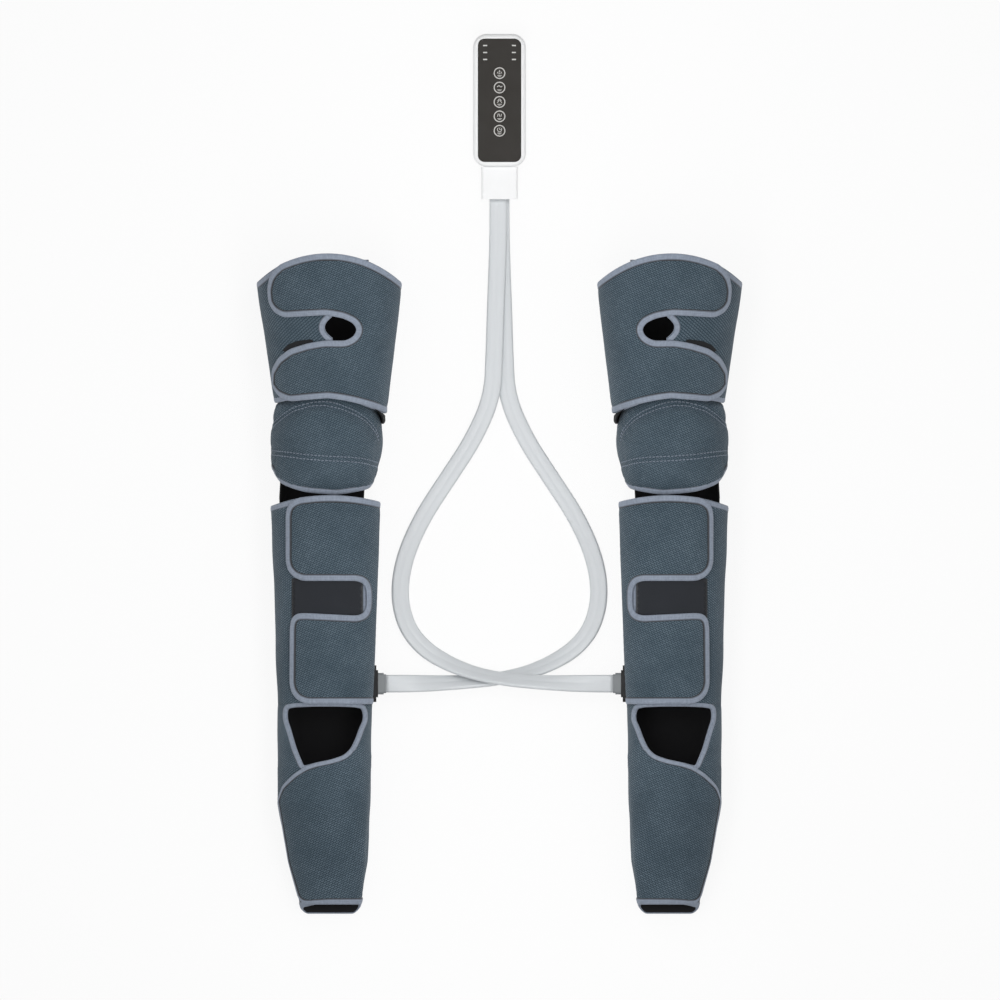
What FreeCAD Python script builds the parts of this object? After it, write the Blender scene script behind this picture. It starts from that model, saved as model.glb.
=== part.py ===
"""Air compression leg massager: two wrap-around leg cuffs, flat twin hoses and a hand control.

It lies on its back on a flat surface: +Y runs from the toes to the hand control, +Z is the front of
the leg, and the origin is below the middle of the whole object. Lengths are millimetres.
"""

import FreeCAD
import Part
import math
import os

V = FreeCAD.Vector
UP = V(0, 0, 1)

# Whole object
OVERALL_LENGTH = 1099.0
LEG_AXIS = 217.0
OVERRUN = 6.0
TOUCH = 0.2

# Sewn layers, from the outside in, and the hook tape under a flap
OUTER_FABRIC = 2.6
AIR_CELL = 3.2
LINING = 2.0
FLAP_FABRIC = 3.0
HOOK_TAPE = 1.0
HOOK_GAP = 0.4
CELL_MARGIN = 9.0
WALL = OUTER_FABRIC + TOUCH + AIR_CELL + TOUCH + LINING

# Leg cross-section: a flat back on the surface, round corners, wide shoulders and a low crown
SHOULDER_SHARE = 0.5
BACK_CORNER_SHARE = 0.3
SHOULDER_TURN = math.radians(60)

# Lengths along the leg, from the toes up
FOOT_LENGTH = 182.5
ANKLE_LENGTH = 78.8
CALF_LENGTH = 258.7
KNEE_GAP = 3.8
KNEE_LENGTH = 123.6
KNEE_TUCK = 17.4
THIGH_LENGTH = 194.0
SECTION_GAP = 0.4

# Widths, heights and sideways shifts of the leg
TOE_WIDTH, TOE_HEIGHT, TOE_SHIFT = 72.0, 32.0, 6.0
BALL_WIDTH, BALL_HEIGHT, BALL_SHIFT = 98.0, 54.0, 3.0
INSTEP_WIDTH, INSTEP_HEIGHT, INSTEP_SHIFT = 116.0, 78.0, -2.5
ANKLE_WIDTH, ANKLE_HEIGHT, ANKLE_SHIFT = 117.0, 84.0, -2.0
CALF_LOW_WIDTH, CALF_LOW_HEIGHT, CALF_LOW_SHIFT = 118.0, 86.0, -1.0
CALF_TOP_WIDTH, CALF_TOP_HEIGHT, CALF_TOP_SHIFT = 137.0, 100.0, -1.0
KNEE_WIDTH, KNEE_HEIGHT, KNEE_SHIFT = 136.0, 104.0, 0.5
KNEE_HEM_WIDTH, KNEE_HEM_HEIGHT = 125.0, 96.0
HEM_WIDTH, HEM_HEIGHT, HEM_SHIFT = 137.0, 100.0, 5.5
THIGH_WIDTH, THIGH_HEIGHT, THIGH_SHIFT = 190.0, 128.0, 3.0
BALL_SHARE = 0.35
INSTEP_SHARE = 0.75

# Knee pad, its heater and the strap behind it
PAD_OUTER = 4.6
PAD_HEATER = 0.8
PAD_LINING = 1.6
PAD_CLEARANCE = 0.4
PAD_SKIRT = 3.0
PAD_TUCK_SKIRT = 34.0
PAD_SEAM_DEPTH = 1.4
PAD_SEAM_WIDTH = 2.4
HEATER_WIDTH, HEATER_LENGTH = 72.0, 58.0
STRAP_WIDTH = 98.0
STRAP_THICKNESS = 3.0
STRAP_TUCK = 26.0
KNEE_STATIONS = 6

# Heights below which no flap reaches
FLAP_FLOOR = 12.0
THIGH_FLAP_FLOOR = 42.0
TOE_BACK_REACH = 9.0
FRONT_SPLIT_HEIGHT = 18.0
LOOP_PANEL = 0.8

# Air socket on the calf and the plug on the end of each hose
SOCKET_LENGTH, SOCKET_HEIGHT, SOCKET_DEPTH = 46.0, 24.0, 5.0
SOCKET_STEP_LENGTH, SOCKET_STEP_HEIGHT, SOCKET_STEP = 34.0, 19.0, 2.2
PLUG_LENGTH, PLUG_HEIGHT, PLUG_DEPTH = 27.0, 15.0, 7.0
PLUG_LIP_LENGTH, PLUG_LIP_HEIGHT, PLUG_LIP = 23.5, 9.0, 3.0
SOCKET_Z = 28.0
SOCKET_FROM_CALF_END = 25.5
SOCKET_CORNER_SHARE = 0.3

# Flat hose
HOSE_WIDTH = 22.0
HOSE_THICKNESS = 6.0
ARC_SHARE = 0.45

# Hand control
HANDSET_LENGTH, HANDSET_WIDTH, HANDSET_THICKNESS = 166.0, 66.0, 32.0
HANDSET_CORNER = 17.0
HANDSET_EDGE = 5.0
HANDSET_SPLIT = 16.0
HANDSET_WALL = 2.2
PANEL_MARGIN = 6.0
PANEL_LENGTH = HANDSET_LENGTH - 2 * PANEL_MARGIN
PANEL_WIDTH = HANDSET_WIDTH - 2 * PANEL_MARGIN
PANEL_THICKNESS = 1.6
PANEL_CORNER = 8.5
PANEL_RECESS = 1.8
PANEL_GAP = 0.3
BUTTON_COUNT = 5
BUTTON_DIAMETER = 15.0
BUTTON_PITCH = 18.0
BUTTON_FIRST = 49.0
BUTTON_GAP = 0.3
BUTTON_PROUD = 0.5
BUTTON_DISH = 0.6
BUTTON_FLANGE = 1.0
BUTTON_FLANGE_HEIGHT = 1.2
BUTTON_FLANGE_GAP = 0.3
BUTTON_TRAVEL = 0.8
INDICATOR_ROWS = 3
INDICATOR_LENGTH, INDICATOR_WIDTH = 5.0, 1.6
INDICATOR_FIRST = 14.5
INDICATOR_PITCH = 8.7
INDICATOR_FROM_SIDE = 9.0
INDICATOR_FROM_AXIS = PANEL_WIDTH / 2 - INDICATOR_FROM_SIDE

# Inside the hand control
SWITCH_SIZE, SWITCH_HEIGHT = 6.2, 3.4
SWITCH_PLUNGER, SWITCH_PLUNGER_HEIGHT = 3.5, 0.4
SWITCH_GAP = 0.3
BOARD_THICKNESS = 1.6
BOARD_FROM_TOP = 14.0
BOARD_PAST_BUTTONS = 5.0
BOARD_SIDE_GAP = 2.3
BOARD_BOSS_GAP = 0.3
BOARD_LENGTH = BUTTON_FIRST + (BUTTON_COUNT - 1) * BUTTON_PITCH + BOARD_PAST_BUTTONS - BOARD_FROM_TOP
BOARD_WIDTH = HANDSET_WIDTH - 2 * (HANDSET_WALL + BOARD_SIDE_GAP)
FLANGE_LOW = HANDSET_THICKNESS - PANEL_RECESS - HANDSET_WALL - BUTTON_FLANGE_GAP - BUTTON_FLANGE_HEIGHT
BOARD_TOP = FLANGE_LOW - BUTTON_TRAVEL - SWITCH_GAP - SWITCH_PLUNGER_HEIGHT - SWITCH_HEIGHT
POST_DIAMETER = 5.0
POST_FROM_END, POST_FROM_SIDE = 9.0, 3.0
PUMP_DIAMETER, PUMP_LENGTH = 16.0, 34.0
PUMP_HEAD_DIAMETER, PUMP_HEAD_LENGTH = 12.0, 10.0
PUMP_SPOUT_DIAMETER, PUMP_SPOUT_LENGTH = 4.0, 6.0
PUMP_FROM_END = 34.0
PUMP_SPACING = 26.0
VALVE_LENGTH, VALVE_WIDTH, VALVE_HEIGHT = 18.0, 10.0, 13.0
VALVE_SPOUT_DIAMETER, VALVE_SPOUT_LENGTH = 3.6, 5.0
VALVE_COUNT = 3
VALVE_SPACING = 14.0
VALVE_FROM_END = 13.0
CELL_PACK_WIDTH, CELL_PACK_HEIGHT = 40.0, 10.0
CELL_PACK_FROM_TOP = 16.0
CELL_PACK_GAP = 14.0
PUMPS_TOP_FROM_END = PUMP_FROM_END + PUMP_LENGTH + PUMP_HEAD_LENGTH + PUMP_SPOUT_LENGTH
CELL_PACK_LENGTH = HANDSET_LENGTH - CELL_PACK_FROM_TOP - CELL_PACK_GAP - PUMPS_TOP_FROM_END
CELL_PACK_CORNER = 3.0
PORT_WIDTH, PORT_HEIGHT, PORT_DEPTH = 11.0, 5.4, 9.0
PORT_SLOT_WIDTH, PORT_SLOT_HEIGHT, PORT_SLOT_DEPTH = 8.6, 2.8, 6.5
PORT_Z = 10.0
SCREW_DIAMETER, SCREW_HEAD, SCREW_HEAD_HEIGHT = 2.6, 5.0, 1.6
SCREW_GAP = 0.15
SCREW_SINK = 0.8
BOSS_DIAMETER = 7.0
BOSS_TOP_FROM_END, BOSS_TOP_FROM_SIDE = 10.0, 14.0
BOSS_LOW_FROM_END, BOSS_LOW_FROM_SIDE = 20.0, 7.0
BOSS_TOP_FROM_AXIS = HANDSET_WIDTH / 2 - BOSS_TOP_FROM_SIDE
BOSS_LOW_FROM_AXIS = HANDSET_WIDTH / 2 - BOSS_LOW_FROM_SIDE

# Hose block that plugs into the hand control
BLOCK_LENGTH, BLOCK_WIDTH, BLOCK_THICKNESS = 40.6, 45.5, 24.0
BLOCK_CORNER = 3.0
BLOCK_LIFT = 1.0
TONGUE_LENGTH, TONGUE_WIDTH, TONGUE_THICKNESS = 11.0, 39.0, 14.0
TONGUE_GAP = 0.3

# Stations along the leg
TOE_Y = -OVERALL_LENGTH / 2
ANKLE_Y = TOE_Y + FOOT_LENGTH
CALF_Y = ANKLE_Y + ANKLE_LENGTH
CALF_TOP_Y = CALF_Y + CALF_LENGTH
KNEE_Y = CALF_TOP_Y + KNEE_GAP
KNEE_TOP_Y = KNEE_Y + KNEE_LENGTH
HEM_Y = KNEE_TOP_Y - KNEE_TUCK
THIGH_Y = HEM_Y + THIGH_LENGTH
SOCKET_Y = CALF_Y + SOCKET_FROM_CALF_END
HANDSET_TOP_Y = OVERALL_LENGTH / 2
HANDSET_LOW_Y = HANDSET_TOP_Y - HANDSET_LENGTH
BLOCK_LOW_Y = HANDSET_LOW_Y - BLOCK_LENGTH
BLOCK_MID_Z = BLOCK_LIFT + BLOCK_THICKNESS / 2
HOSE_LEVEL = HOSE_THICKNESS / 2
SOCKET_FACE_X = LEG_AXIS - CALF_LOW_WIDTH / 2 - CALF_LOW_SHIFT - SOCKET_DEPTH - SOCKET_STEP
HOSE_END_X = SOCKET_FACE_X - PLUG_DEPTH - PLUG_LIP
HOSE_STACK = HOSE_THICKNESS / 2 + TOUCH

# Outline tables: across as a share of half the width, along as a share of the length, corner radius as
# a share of the length. Along runs up from the lower end of the cuff.
THIGH_PLAN_SHARES = {"top": ((-1.06, 0.79), (0.03, 1.0), (1.06, 0.79)),
                     "low": ((1.06, -0.012), (0.03, 0.08), (-1.06, 0.045))}
CALF_PLAN_SHARES = {"top": ((-1.08, 0.95), (0.0, 1.0), (1.08, 0.965)),
                    "low": ((1.08, 0.0), (0.0, 0.0), (-1.08, 0.0))}
KNEE_PLAN_SHARES = {"top": ((-1.1, 0.9), (0.0, 1.0), (1.1, 0.9)),
                    "low": ((1.1, 0.14), (0.05, 0.0), (-1.1, 0.19))}
THIGH_FLAP_SHARES = ((0.983, 1.06, 0.0), (-0.6, 1.06, 0.0), (-0.783, 0.97, 0.15), (-0.776, 0.584, 0.11),
                     (-0.079, 0.606, 0.2), (0.441, 0.594, 0.075), (0.441, 0.426, 0.075),
                     (-0.053, 0.442, 0.2), (-0.71, 0.368, 0.13), (-0.73, 0.045, 0.115),
                     (0.026, 0.071, 0.3), (0.73, -0.04, 0.0))
CALF_FLAP_SHARES = ((0.912, 1.03, 0.0), (-0.748, 0.985, 0.06), (-0.684, 0.599, 0.046),
                    (0.775, 0.592, 0.045), (0.766, 0.39, 0.05), (-0.666, 0.43, 0.05),
                    (-0.593, 0.004, 0.06), (0.766, 0.004, 0.0))
FOOT_FLAP_SHARES = ((0.876, 1.0, 0.0), (-0.48, 1.0, 0.0), (-0.92, 0.82, 0.12), (-0.72, 0.38, 0.5),
                    (-0.47, 0.062, 0.03), (0.66, 0.062, 0.0))
ANKLE_OPENING_SHARES = ((-0.86, 1.1, 0.0), (0.86, 1.1, 0.0), (0.86, 0.7, 0.3), (0.406, 0.11, 0.3),
                        (-0.49, -0.1, 0.0))
THIGH_SPLIT_SHARES = ((-0.01, -0.2), (0.485, -0.2), (0.485, 1.2), (-0.01, 1.2))
CALF_SPLIT_SHARES = ((0.69, -0.2), (0.75, -0.2), (0.83, 1.2), (0.77, 1.2))
FOOT_SPLIT_SHARES = ((-0.1, -0.2), (0.3, -0.2), (0.3, 1.2), (-0.1, 1.2))
THIGH_HOOK_SHARES = (((-0.66, 0.66), (-0.15, 0.9)), ((-0.6, 0.12), (-0.15, 0.32)))
CALF_HOOK_SHARES = (((-0.6, 0.67), (-0.05, 0.92)), ((-0.5, 0.07), (0.0, 0.36)))
LOOP_PANEL_SHARES = ((-0.62, 0.415), (0.66, 0.607))
# Route of a hose: across as a share of the leg axis, along as a share of the way up from the socket to the
# hose block, then the rise to the socket for the hose that runs on top and for the one below it.
HOSE_ROUTE_SHARES = (
    (-0.014, 0.850, 0.376, 0.120), (-0.023, 0.764, 0.272, 0.016), (-0.030, 0.678, 0.268, 0.004),
    (-0.042, 0.592, 0.268, 0.000), (-0.147, 0.506, 0.100, 0.000), (-0.295, 0.425, 0.000, 0.000),
    (-0.442, 0.346, 0.000, 0.000), (-0.548, 0.262, 0.000, 0.000), (-0.581, 0.184, 0.000, 0.000),
    (-0.539, 0.118, 0.000, 0.000), (-0.438, 0.072, 0.160, 0.000), (-0.295, 0.041, 0.384, 0.000),
    (-0.147, 0.021, 0.332, 0.000), (0.018, 0.009, 0.276, 0.000), (0.207, 0.003, 0.300, 0.006),
    (0.355, 0.001, 0.620, 0.290))
HOSE_LEVEL_SHARES = {"start_across": -0.007, "start_along": 0.929, "end_across": 0.505}

PAD_SKIRT_SHARES = {"tuck": 0.8, "full": 0.66, "rise": 0.2}
PAD_SEAM_SHARES = {"arch": ((-1.1, 0.7), (0.0, 0.93), (1.1, 0.62)),
                   "level": ((-1.1, 0.43), (0.0, 0.39), (1.1, 0.33))}


def station(y, shift, width, height, base=0.0):
    """One cross-section of the leg: base is how far it already lies inside width and height."""
    return {"y": y, "shift": shift, "width": width, "height": height, "base": base}


def between(a, b, share, y=None):
    """The cross-section a share of the way from station a to station b."""
    mixed = {k: a[k] + (b[k] - a[k]) * share for k in a}
    if y is not None:
        mixed["y"] = y
    return mixed


def at_height(a, b, y):
    """The cross-section at y on the straight line through two stations."""
    return between(a, b, (y - a["y"]) / (b["y"] - a["y"]), y)


TOE = station(TOE_Y, TOE_SHIFT, TOE_WIDTH, TOE_HEIGHT)
BALL = station(TOE_Y + BALL_SHARE * FOOT_LENGTH, BALL_SHIFT, BALL_WIDTH, BALL_HEIGHT)
INSTEP = station(TOE_Y + INSTEP_SHARE * FOOT_LENGTH, INSTEP_SHIFT, INSTEP_WIDTH, INSTEP_HEIGHT)
ANKLE = station(ANKLE_Y, ANKLE_SHIFT, ANKLE_WIDTH, ANKLE_HEIGHT)
CALF_LOW = station(CALF_Y, CALF_LOW_SHIFT, CALF_LOW_WIDTH, CALF_LOW_HEIGHT)
CALF_TOP = station(CALF_TOP_Y, CALF_TOP_SHIFT, CALF_TOP_WIDTH, CALF_TOP_HEIGHT)
HEM = station(HEM_Y, HEM_SHIFT, HEM_WIDTH, HEM_HEIGHT)
THIGH = station(THIGH_Y, THIGH_SHIFT, THIGH_WIDTH, THIGH_HEIGHT)
FOOT_RUN = [TOE, BALL, INSTEP, ANKLE]
ANKLE_RUN = [ANKLE, CALF_LOW]
CALF_RUN = [CALF_LOW, CALF_TOP]
THIGH_RUN = [HEM, THIGH]


def section_wire(st, inset):
    """Closed outline of the leg at a station, set in by inset, on tangent lines and arcs."""
    inset = inset + st["base"]
    shoulder = SHOULDER_SHARE * st["height"]
    corner = BACK_CORNER_SHARE * st["height"]
    half = st["width"] / 2
    reach = half - shoulder
    rise = reach * (1 / math.cos(SHOULDER_TURN) - math.tan(SHOULDER_TURN))
    shoulder_z = st["height"] - shoulder - rise
    crown_z = shoulder_z - reach * math.tan(SHOULDER_TURN)
    crown = shoulder + reach / math.cos(SHOULDER_TURN) - inset
    shoulder -= inset
    small = corner - inset

    def at(across, z):
        return V(st["shift"] + across, st["y"], z)

    def turned(side, centre_u, centre_z, radius, angle):
        return at(side * (centre_u + radius * math.cos(angle)), centre_z + radius * math.sin(angle))

    def corner_arc(side):
        u, z = half - corner, corner
        return [turned(side, u, z, small, math.radians(a)) for a in (-90, -45, 0)]

    def shoulder_arc(side):
        return [turned(side, reach, shoulder_z, shoulder, a) for a in (0, SHOULDER_TURN / 2, SHOULDER_TURN)]

    right_low, right_up = corner_arc(1), shoulder_arc(1)
    left_low, left_up = corner_arc(-1), shoulder_arc(-1)
    edges = [
        Part.LineSegment(left_low[0], right_low[0]),
        Part.Arc(*right_low),
        Part.LineSegment(right_low[2], right_up[0]),
        Part.Arc(*right_up),
        Part.Arc(right_up[2], at(0, crown_z + crown), left_up[2]),
        Part.Arc(*reversed(left_up)),
        Part.LineSegment(left_up[0], left_low[2]),
        Part.Arc(*reversed(left_low)),
    ]
    return Part.Wire([e.toShape() for e in edges])


def stretched(run):
    """The run with both ends carried on in a straight line, so that a later cut trims them."""
    low = at_height(run[0], run[1], run[0]["y"] - OVERRUN)
    high = at_height(run[-2], run[-1], run[-1]["y"] + OVERRUN)
    return [low] + run[1:-1] + [high]


def flat_or_round(face):
    """The face as a true plane where it is flat, and unchanged where it is round."""
    plane = face.findPlane()
    if plane is None:
        return face
    flat = Part.Face(plane, face.OuterWire)
    return flat if flat.normalAt(0, 0) * face.normalAt(0, 0) > 0 else flat.reversed()


def tube(run, inset):
    """Solid whose surface lies inset from the leg's outside along the run, with a truly flat back."""
    loft = Part.makeLoft([section_wire(st, inset) for st in run], True, True)
    return Part.Solid(Part.Shell([flat_or_round(f) for f in loft.Faces]))


def layer(run, outside, inside):
    """A sheet of the wall between two insets, open at both ends."""
    longer = stretched(run)
    return tube(longer, outside).cut(tube(longer, inside))


def place(run, share_u, share_v):
    """Point of an outline table on the plan of a run: across from the leg axis, then along."""
    half = max(st["width"] for st in run) / 2
    return V(share_u * half, run[0]["y"] + share_v * (run[-1]["y"] - run[0]["y"]), 0)


def rounded_face(points, radii):
    """Flat face with straight sides and corners of the given radii."""
    edges = []
    count = len(points)
    starts, ends = [], []
    for i, corner in enumerate(points):
        back = (points[i - 1] - corner).normalize()
        onward = (points[(i + 1) % count] - corner).normalize()
        opening = back.getAngle(onward)
        cut = radii[i] / math.tan(opening / 2)
        starts.append(corner + back * cut)
        ends.append(corner + onward * cut)
        if radii[i] > 0:
            middle = (back + onward).normalize()
            bulge = radii[i] / math.sin(opening / 2) - radii[i]
            edges.append(Part.Arc(starts[i], corner + middle * bulge, ends[i]).toShape())
        else:
            edges.append(None)
    wire = []
    for i in range(count):
        if edges[i] is not None:
            wire.append(edges[i])
        wire.append(Part.LineSegment(ends[i], starts[(i + 1) % count]).toShape())
    return Part.Face(Part.Wire(wire))


def column(face, low, high):
    """Upright prism on a flat face, from height low to height high."""
    face.translate(UP * low)
    return face.extrude(UP * (high - low))


def table_column(run, shares, low):
    """Upright prism on an outline table of a run, taller than the leg."""
    length = run[-1]["y"] - run[0]["y"]
    points = [place(run, u, v) for u, v, _ in shares]
    return column(rounded_face(points, [r * length for _, _, r in shares]), low, THIGH_HEIGHT + OVERRUN)


def box_column(run, shares, low):
    """Upright prism on a rectangle given by two corners of a run's outline table."""
    (u0, v0), (u1, v1) = shares
    corners = ((u0, v0, 0.0), (u1, v0, 0.0), (u1, v1, 0.0), (u0, v1, 0.0))
    return table_column(run, corners, low)


def plan_column(run, shares, low=-OVERRUN):
    """Upright prism on a cuff's plan, whose upper and lower edges are arcs."""
    edges = []
    ends = {}
    for name in ("top", "low"):
        a, b, c = (place(run, *s) for s in shares[name])
        ends[name] = (a, c)
        straight = abs((b - a).cross(c - a).z) < TOUCH
        edges.append((Part.LineSegment(a, c) if straight else Part.Arc(a, b, c)).toShape())
    sides = [Part.LineSegment(ends["top"][1], ends["low"][0]), Part.LineSegment(ends["low"][1], ends["top"][0])]
    wire = Part.Wire([edges[0], sides[0].toShape(), edges[1], sides[1].toShape()])
    return column(Part.Face(wire), low, THIGH_HEIGHT + OVERRUN)


def slab(y_low, y_high, z_low=-OVERRUN):
    """Block across the whole leg between two places along it."""
    width = THIGH_WIDTH + 2 * OVERRUN
    return Part.makeBox(width, y_high - y_low, THIGH_HEIGHT + 2 * OVERRUN, V(-width / 2, y_low, z_low))


def split_column(run, shares, low, margin=0.0):
    """Upright prism along the front split of a cuff, wider by margin on both sides."""
    points = [place(run, u, v) for u, v in shares]
    spread = [V(-margin, 0, 0), V(margin, 0, 0), V(margin, 0, 0), V(-margin, 0, 0)]
    corners = [p + s for p, s in zip(points, spread)]
    return column(Part.Face(Part.makePolygon(corners + corners[:1])), low, THIGH_HEIGHT + OVERRUN)


def cuff_layers(run, plan, split_shares, split_low, trim=None):
    """Outer fabric, air cell and lining of one cuff: the split runs along the front, under the flap."""
    split = split_column(run, split_shares, split_low)
    cell_split = split_column(run, split_shares, split_low, CELL_MARGIN)
    if trim is not None:
        split = split.fuse(trim)
    outer = layer(run, 0, OUTER_FABRIC).common(plan).cut(split)
    cell_out = OUTER_FABRIC + TOUCH
    cell = layer(run, cell_out, cell_out + AIR_CELL)
    cell = cell.common(slab(run[0]["y"] + CELL_MARGIN, run[-1]["y"] - CELL_MARGIN)).common(plan)
    cell = cell.cut(cell_split)
    lining_out = cell_out + AIR_CELL + TOUCH
    lining = layer(run, lining_out, lining_out + LINING).common(plan).cut(split)
    return outer, cell, lining


def flap_sheet(run, outline, under):
    """A flap over the front of a cuff, lying under away from its fabric."""
    return layer(run, -under - FLAP_FABRIC, -under).common(outline)


def hook_sheets(run, hooks):
    """The hook tape sewn under the tabs of a flap."""
    sheet = layer(run, -HOOK_GAP - HOOK_TAPE, -HOOK_GAP)
    return Part.makeCompound([sheet.common(box_column(run, h, FLAP_FLOOR)) for h in hooks])


def thigh_pieces():
    plan = plan_column(THIGH_RUN, THIGH_PLAN_SHARES)
    outer, cell, lining = cuff_layers(THIGH_RUN, plan, THIGH_SPLIT_SHARES, HEM_HEIGHT / 2)
    outline = table_column(THIGH_RUN, THIGH_FLAP_SHARES, THIGH_FLAP_FLOOR).common(plan)
    flap = flap_sheet(THIGH_RUN, outline, HOOK_GAP + HOOK_TAPE + TOUCH)
    tape = hook_sheets(THIGH_RUN, THIGH_HOOK_SHARES).cut(flap)
    return {"thigh_cuff": outer, "thigh_air_cell": cell, "thigh_lining": lining,
            "thigh_flap": flap, "thigh_hook_tape": tape}


def calf_pieces():
    plan = plan_column(CALF_RUN, CALF_PLAN_SHARES)
    outer, cell, lining = cuff_layers(CALF_RUN, plan, CALF_SPLIT_SHARES, CALF_LOW_HEIGHT / 2)
    outline = table_column(CALF_RUN, CALF_FLAP_SHARES, FLAP_FLOOR).common(plan)
    flap = flap_sheet(CALF_RUN, outline, HOOK_GAP + HOOK_TAPE + TOUCH)
    tape = hook_sheets(CALF_RUN, CALF_HOOK_SHARES).cut(flap)
    loop = layer(CALF_RUN, -TOUCH - LOOP_PANEL, -TOUCH)
    loop = loop.common(box_column(CALF_RUN, LOOP_PANEL_SHARES, FLAP_FLOOR))
    return {"calf_cuff": outer, "calf_air_cell": cell, "calf_lining": lining,
            "calf_flap": flap, "calf_hook_tape": tape, "calf_loop_panel": loop}


def foot_pieces():
    plan = slab(TOE_Y, ANKLE_Y - SECTION_GAP)
    front = slab(TOE_Y - OVERRUN, TOE_Y + TOE_BACK_REACH, FRONT_SPLIT_HEIGHT)
    outer, cell, lining = cuff_layers(FOOT_RUN, plan, FOOT_SPLIT_SHARES, FRONT_SPLIT_HEIGHT, front)
    outline = table_column(FOOT_RUN, FOOT_FLAP_SHARES, FLAP_FLOOR).common(plan)
    flap = flap_sheet(FOOT_RUN, outline, HOOK_GAP)
    return {"foot_cuff": outer, "foot_air_cell": cell, "foot_lining": lining, "foot_flap": flap}


def ankle_piece():
    """Soft gusset behind and beside the ankle; its front is the open instep."""
    opening = table_column(ANKLE_RUN, ANKLE_OPENING_SHARES, ANKLE_HEIGHT / 2)
    wall = layer(ANKLE_RUN, 0, WALL).common(slab(ANKLE_Y, CALF_Y - SECTION_GAP))
    return {"ankle_gusset": wall.cut(opening)}


def knee_run():
    """Cross-sections of the knee pad: tucked inside the thigh hem, full over the knee, drawn in below."""
    tuck = WALL + PAD_CLEARANCE
    top = at_height(HEM, THIGH, KNEE_TOP_Y)
    top["base"] = tuck
    neck = dict(HEM, base=tuck)
    hem = station(KNEE_Y, KNEE_SHIFT, KNEE_HEM_WIDTH, KNEE_HEM_HEIGHT)
    full = station(KNEE_Y, KNEE_SHIFT, KNEE_WIDTH, KNEE_HEIGHT)
    run = []
    for i in range(KNEE_STATIONS):
        share = i / KNEE_STATIONS
        swell = math.sqrt(math.sin(math.pi * share))
        ends = between(hem, neck, share)
        run.append(between(ends, full, swell, KNEE_Y + share * (HEM_Y - KNEE_Y)))
    return run + [neck, top]


def knee_side_column():
    """Side view of the knee pad: short where it is tucked in, down to the surface over the knee."""
    full_y = KNEE_Y + PAD_SKIRT_SHARES["full"] * KNEE_LENGTH
    tuck_y = KNEE_Y + PAD_SKIRT_SHARES["tuck"] * KNEE_LENGTH
    rise_y = KNEE_Y + PAD_SKIRT_SHARES["rise"] * KNEE_LENGTH
    top_z = KNEE_HEIGHT + OVERRUN
    points = [(KNEE_Y - OVERRUN, top_z), (KNEE_Y - OVERRUN, PAD_TUCK_SKIRT), (rise_y, PAD_SKIRT),
              (full_y, PAD_SKIRT), (tuck_y, PAD_TUCK_SKIRT), (KNEE_TOP_Y + OVERRUN, PAD_TUCK_SKIRT),
              (KNEE_TOP_Y + OVERRUN, top_z)]
    wide = THIGH_WIDTH
    wire = Part.makePolygon([V(-wide / 2, y, z) for y, z in points + points[:1]])
    return Part.Face(wire).extrude(V(wide, 0, 0))


def seam_columns(run):
    """Narrow upright strips along the two sewn channels of the knee pad."""
    strips = []
    for shares in PAD_SEAM_SHARES.values():
        a, b, c = (place(run, *s) for s in shares)
        low = Part.Arc(a, b, c).toShape()
        strip = low.extrude(V(0, PAD_SEAM_WIDTH, 0)).extrude(UP * (KNEE_HEIGHT + OVERRUN))
        strips.append(strip)
    return strips


def knee_pieces():
    run = knee_run()
    span = [run[0], station(KNEE_TOP_Y, KNEE_SHIFT, KNEE_WIDTH, KNEE_HEIGHT)]
    plan = plan_column(span, KNEE_PLAN_SHARES).common(knee_side_column())
    outer = layer(run, 0, PAD_OUTER).common(plan)
    groove = layer(run, -PAD_SEAM_DEPTH, PAD_SEAM_DEPTH)
    for strip in seam_columns(span):
        outer = outer.cut(groove.common(strip))
    heater_out = PAD_OUTER + TOUCH
    lining_out = heater_out + PAD_HEATER + TOUCH
    middle = (KNEE_Y + HEM_Y) / 2
    patch = Part.makeBox(HEATER_WIDTH, HEATER_LENGTH, KNEE_HEIGHT,
                         V(KNEE_SHIFT - HEATER_WIDTH / 2, middle - HEATER_LENGTH / 2, KNEE_HEIGHT / 2))
    heater = layer(run, heater_out, heater_out + PAD_HEATER).common(patch)
    strap_out = WALL + PAD_CLEARANCE
    over_strap = slab(KNEE_Y - OVERRUN, KNEE_TOP_Y + OVERRUN, strap_out + 2 * STRAP_THICKNESS)
    lining = layer(run, lining_out, lining_out + PAD_LINING).common(plan).common(over_strap)
    strap_run = [at_height(CALF_LOW, CALF_TOP, CALF_TOP_Y - STRAP_TUCK), CALF_TOP,
                 HEM, at_height(HEM, THIGH, HEM_Y + STRAP_TUCK)]
    back = Part.makeBox(STRAP_WIDTH, strap_run[-1]["y"] - strap_run[0]["y"], HEM_HEIGHT / 2,
                        V(-STRAP_WIDTH / 2, strap_run[0]["y"], 0))
    strap = layer(strap_run, strap_out, strap_out + STRAP_THICKNESS).common(back)
    return {"knee_pad": outer, "knee_heater": heater, "knee_lining": lining, "knee_strap": strap}


def bar(length_y, height_z, depth_x, x, y, z, corner):
    """Block with round ends on its four long edges, standing out from x by depth along +X."""
    block = Part.makeBox(depth_x, length_y, height_z, V(x, y - length_y / 2, z - height_z / 2))
    long_edges = [e for e in block.Edges if abs(e.tangentAt(e.FirstParameter).x) > 0.5]
    return block.makeFillet(corner, long_edges)


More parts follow.
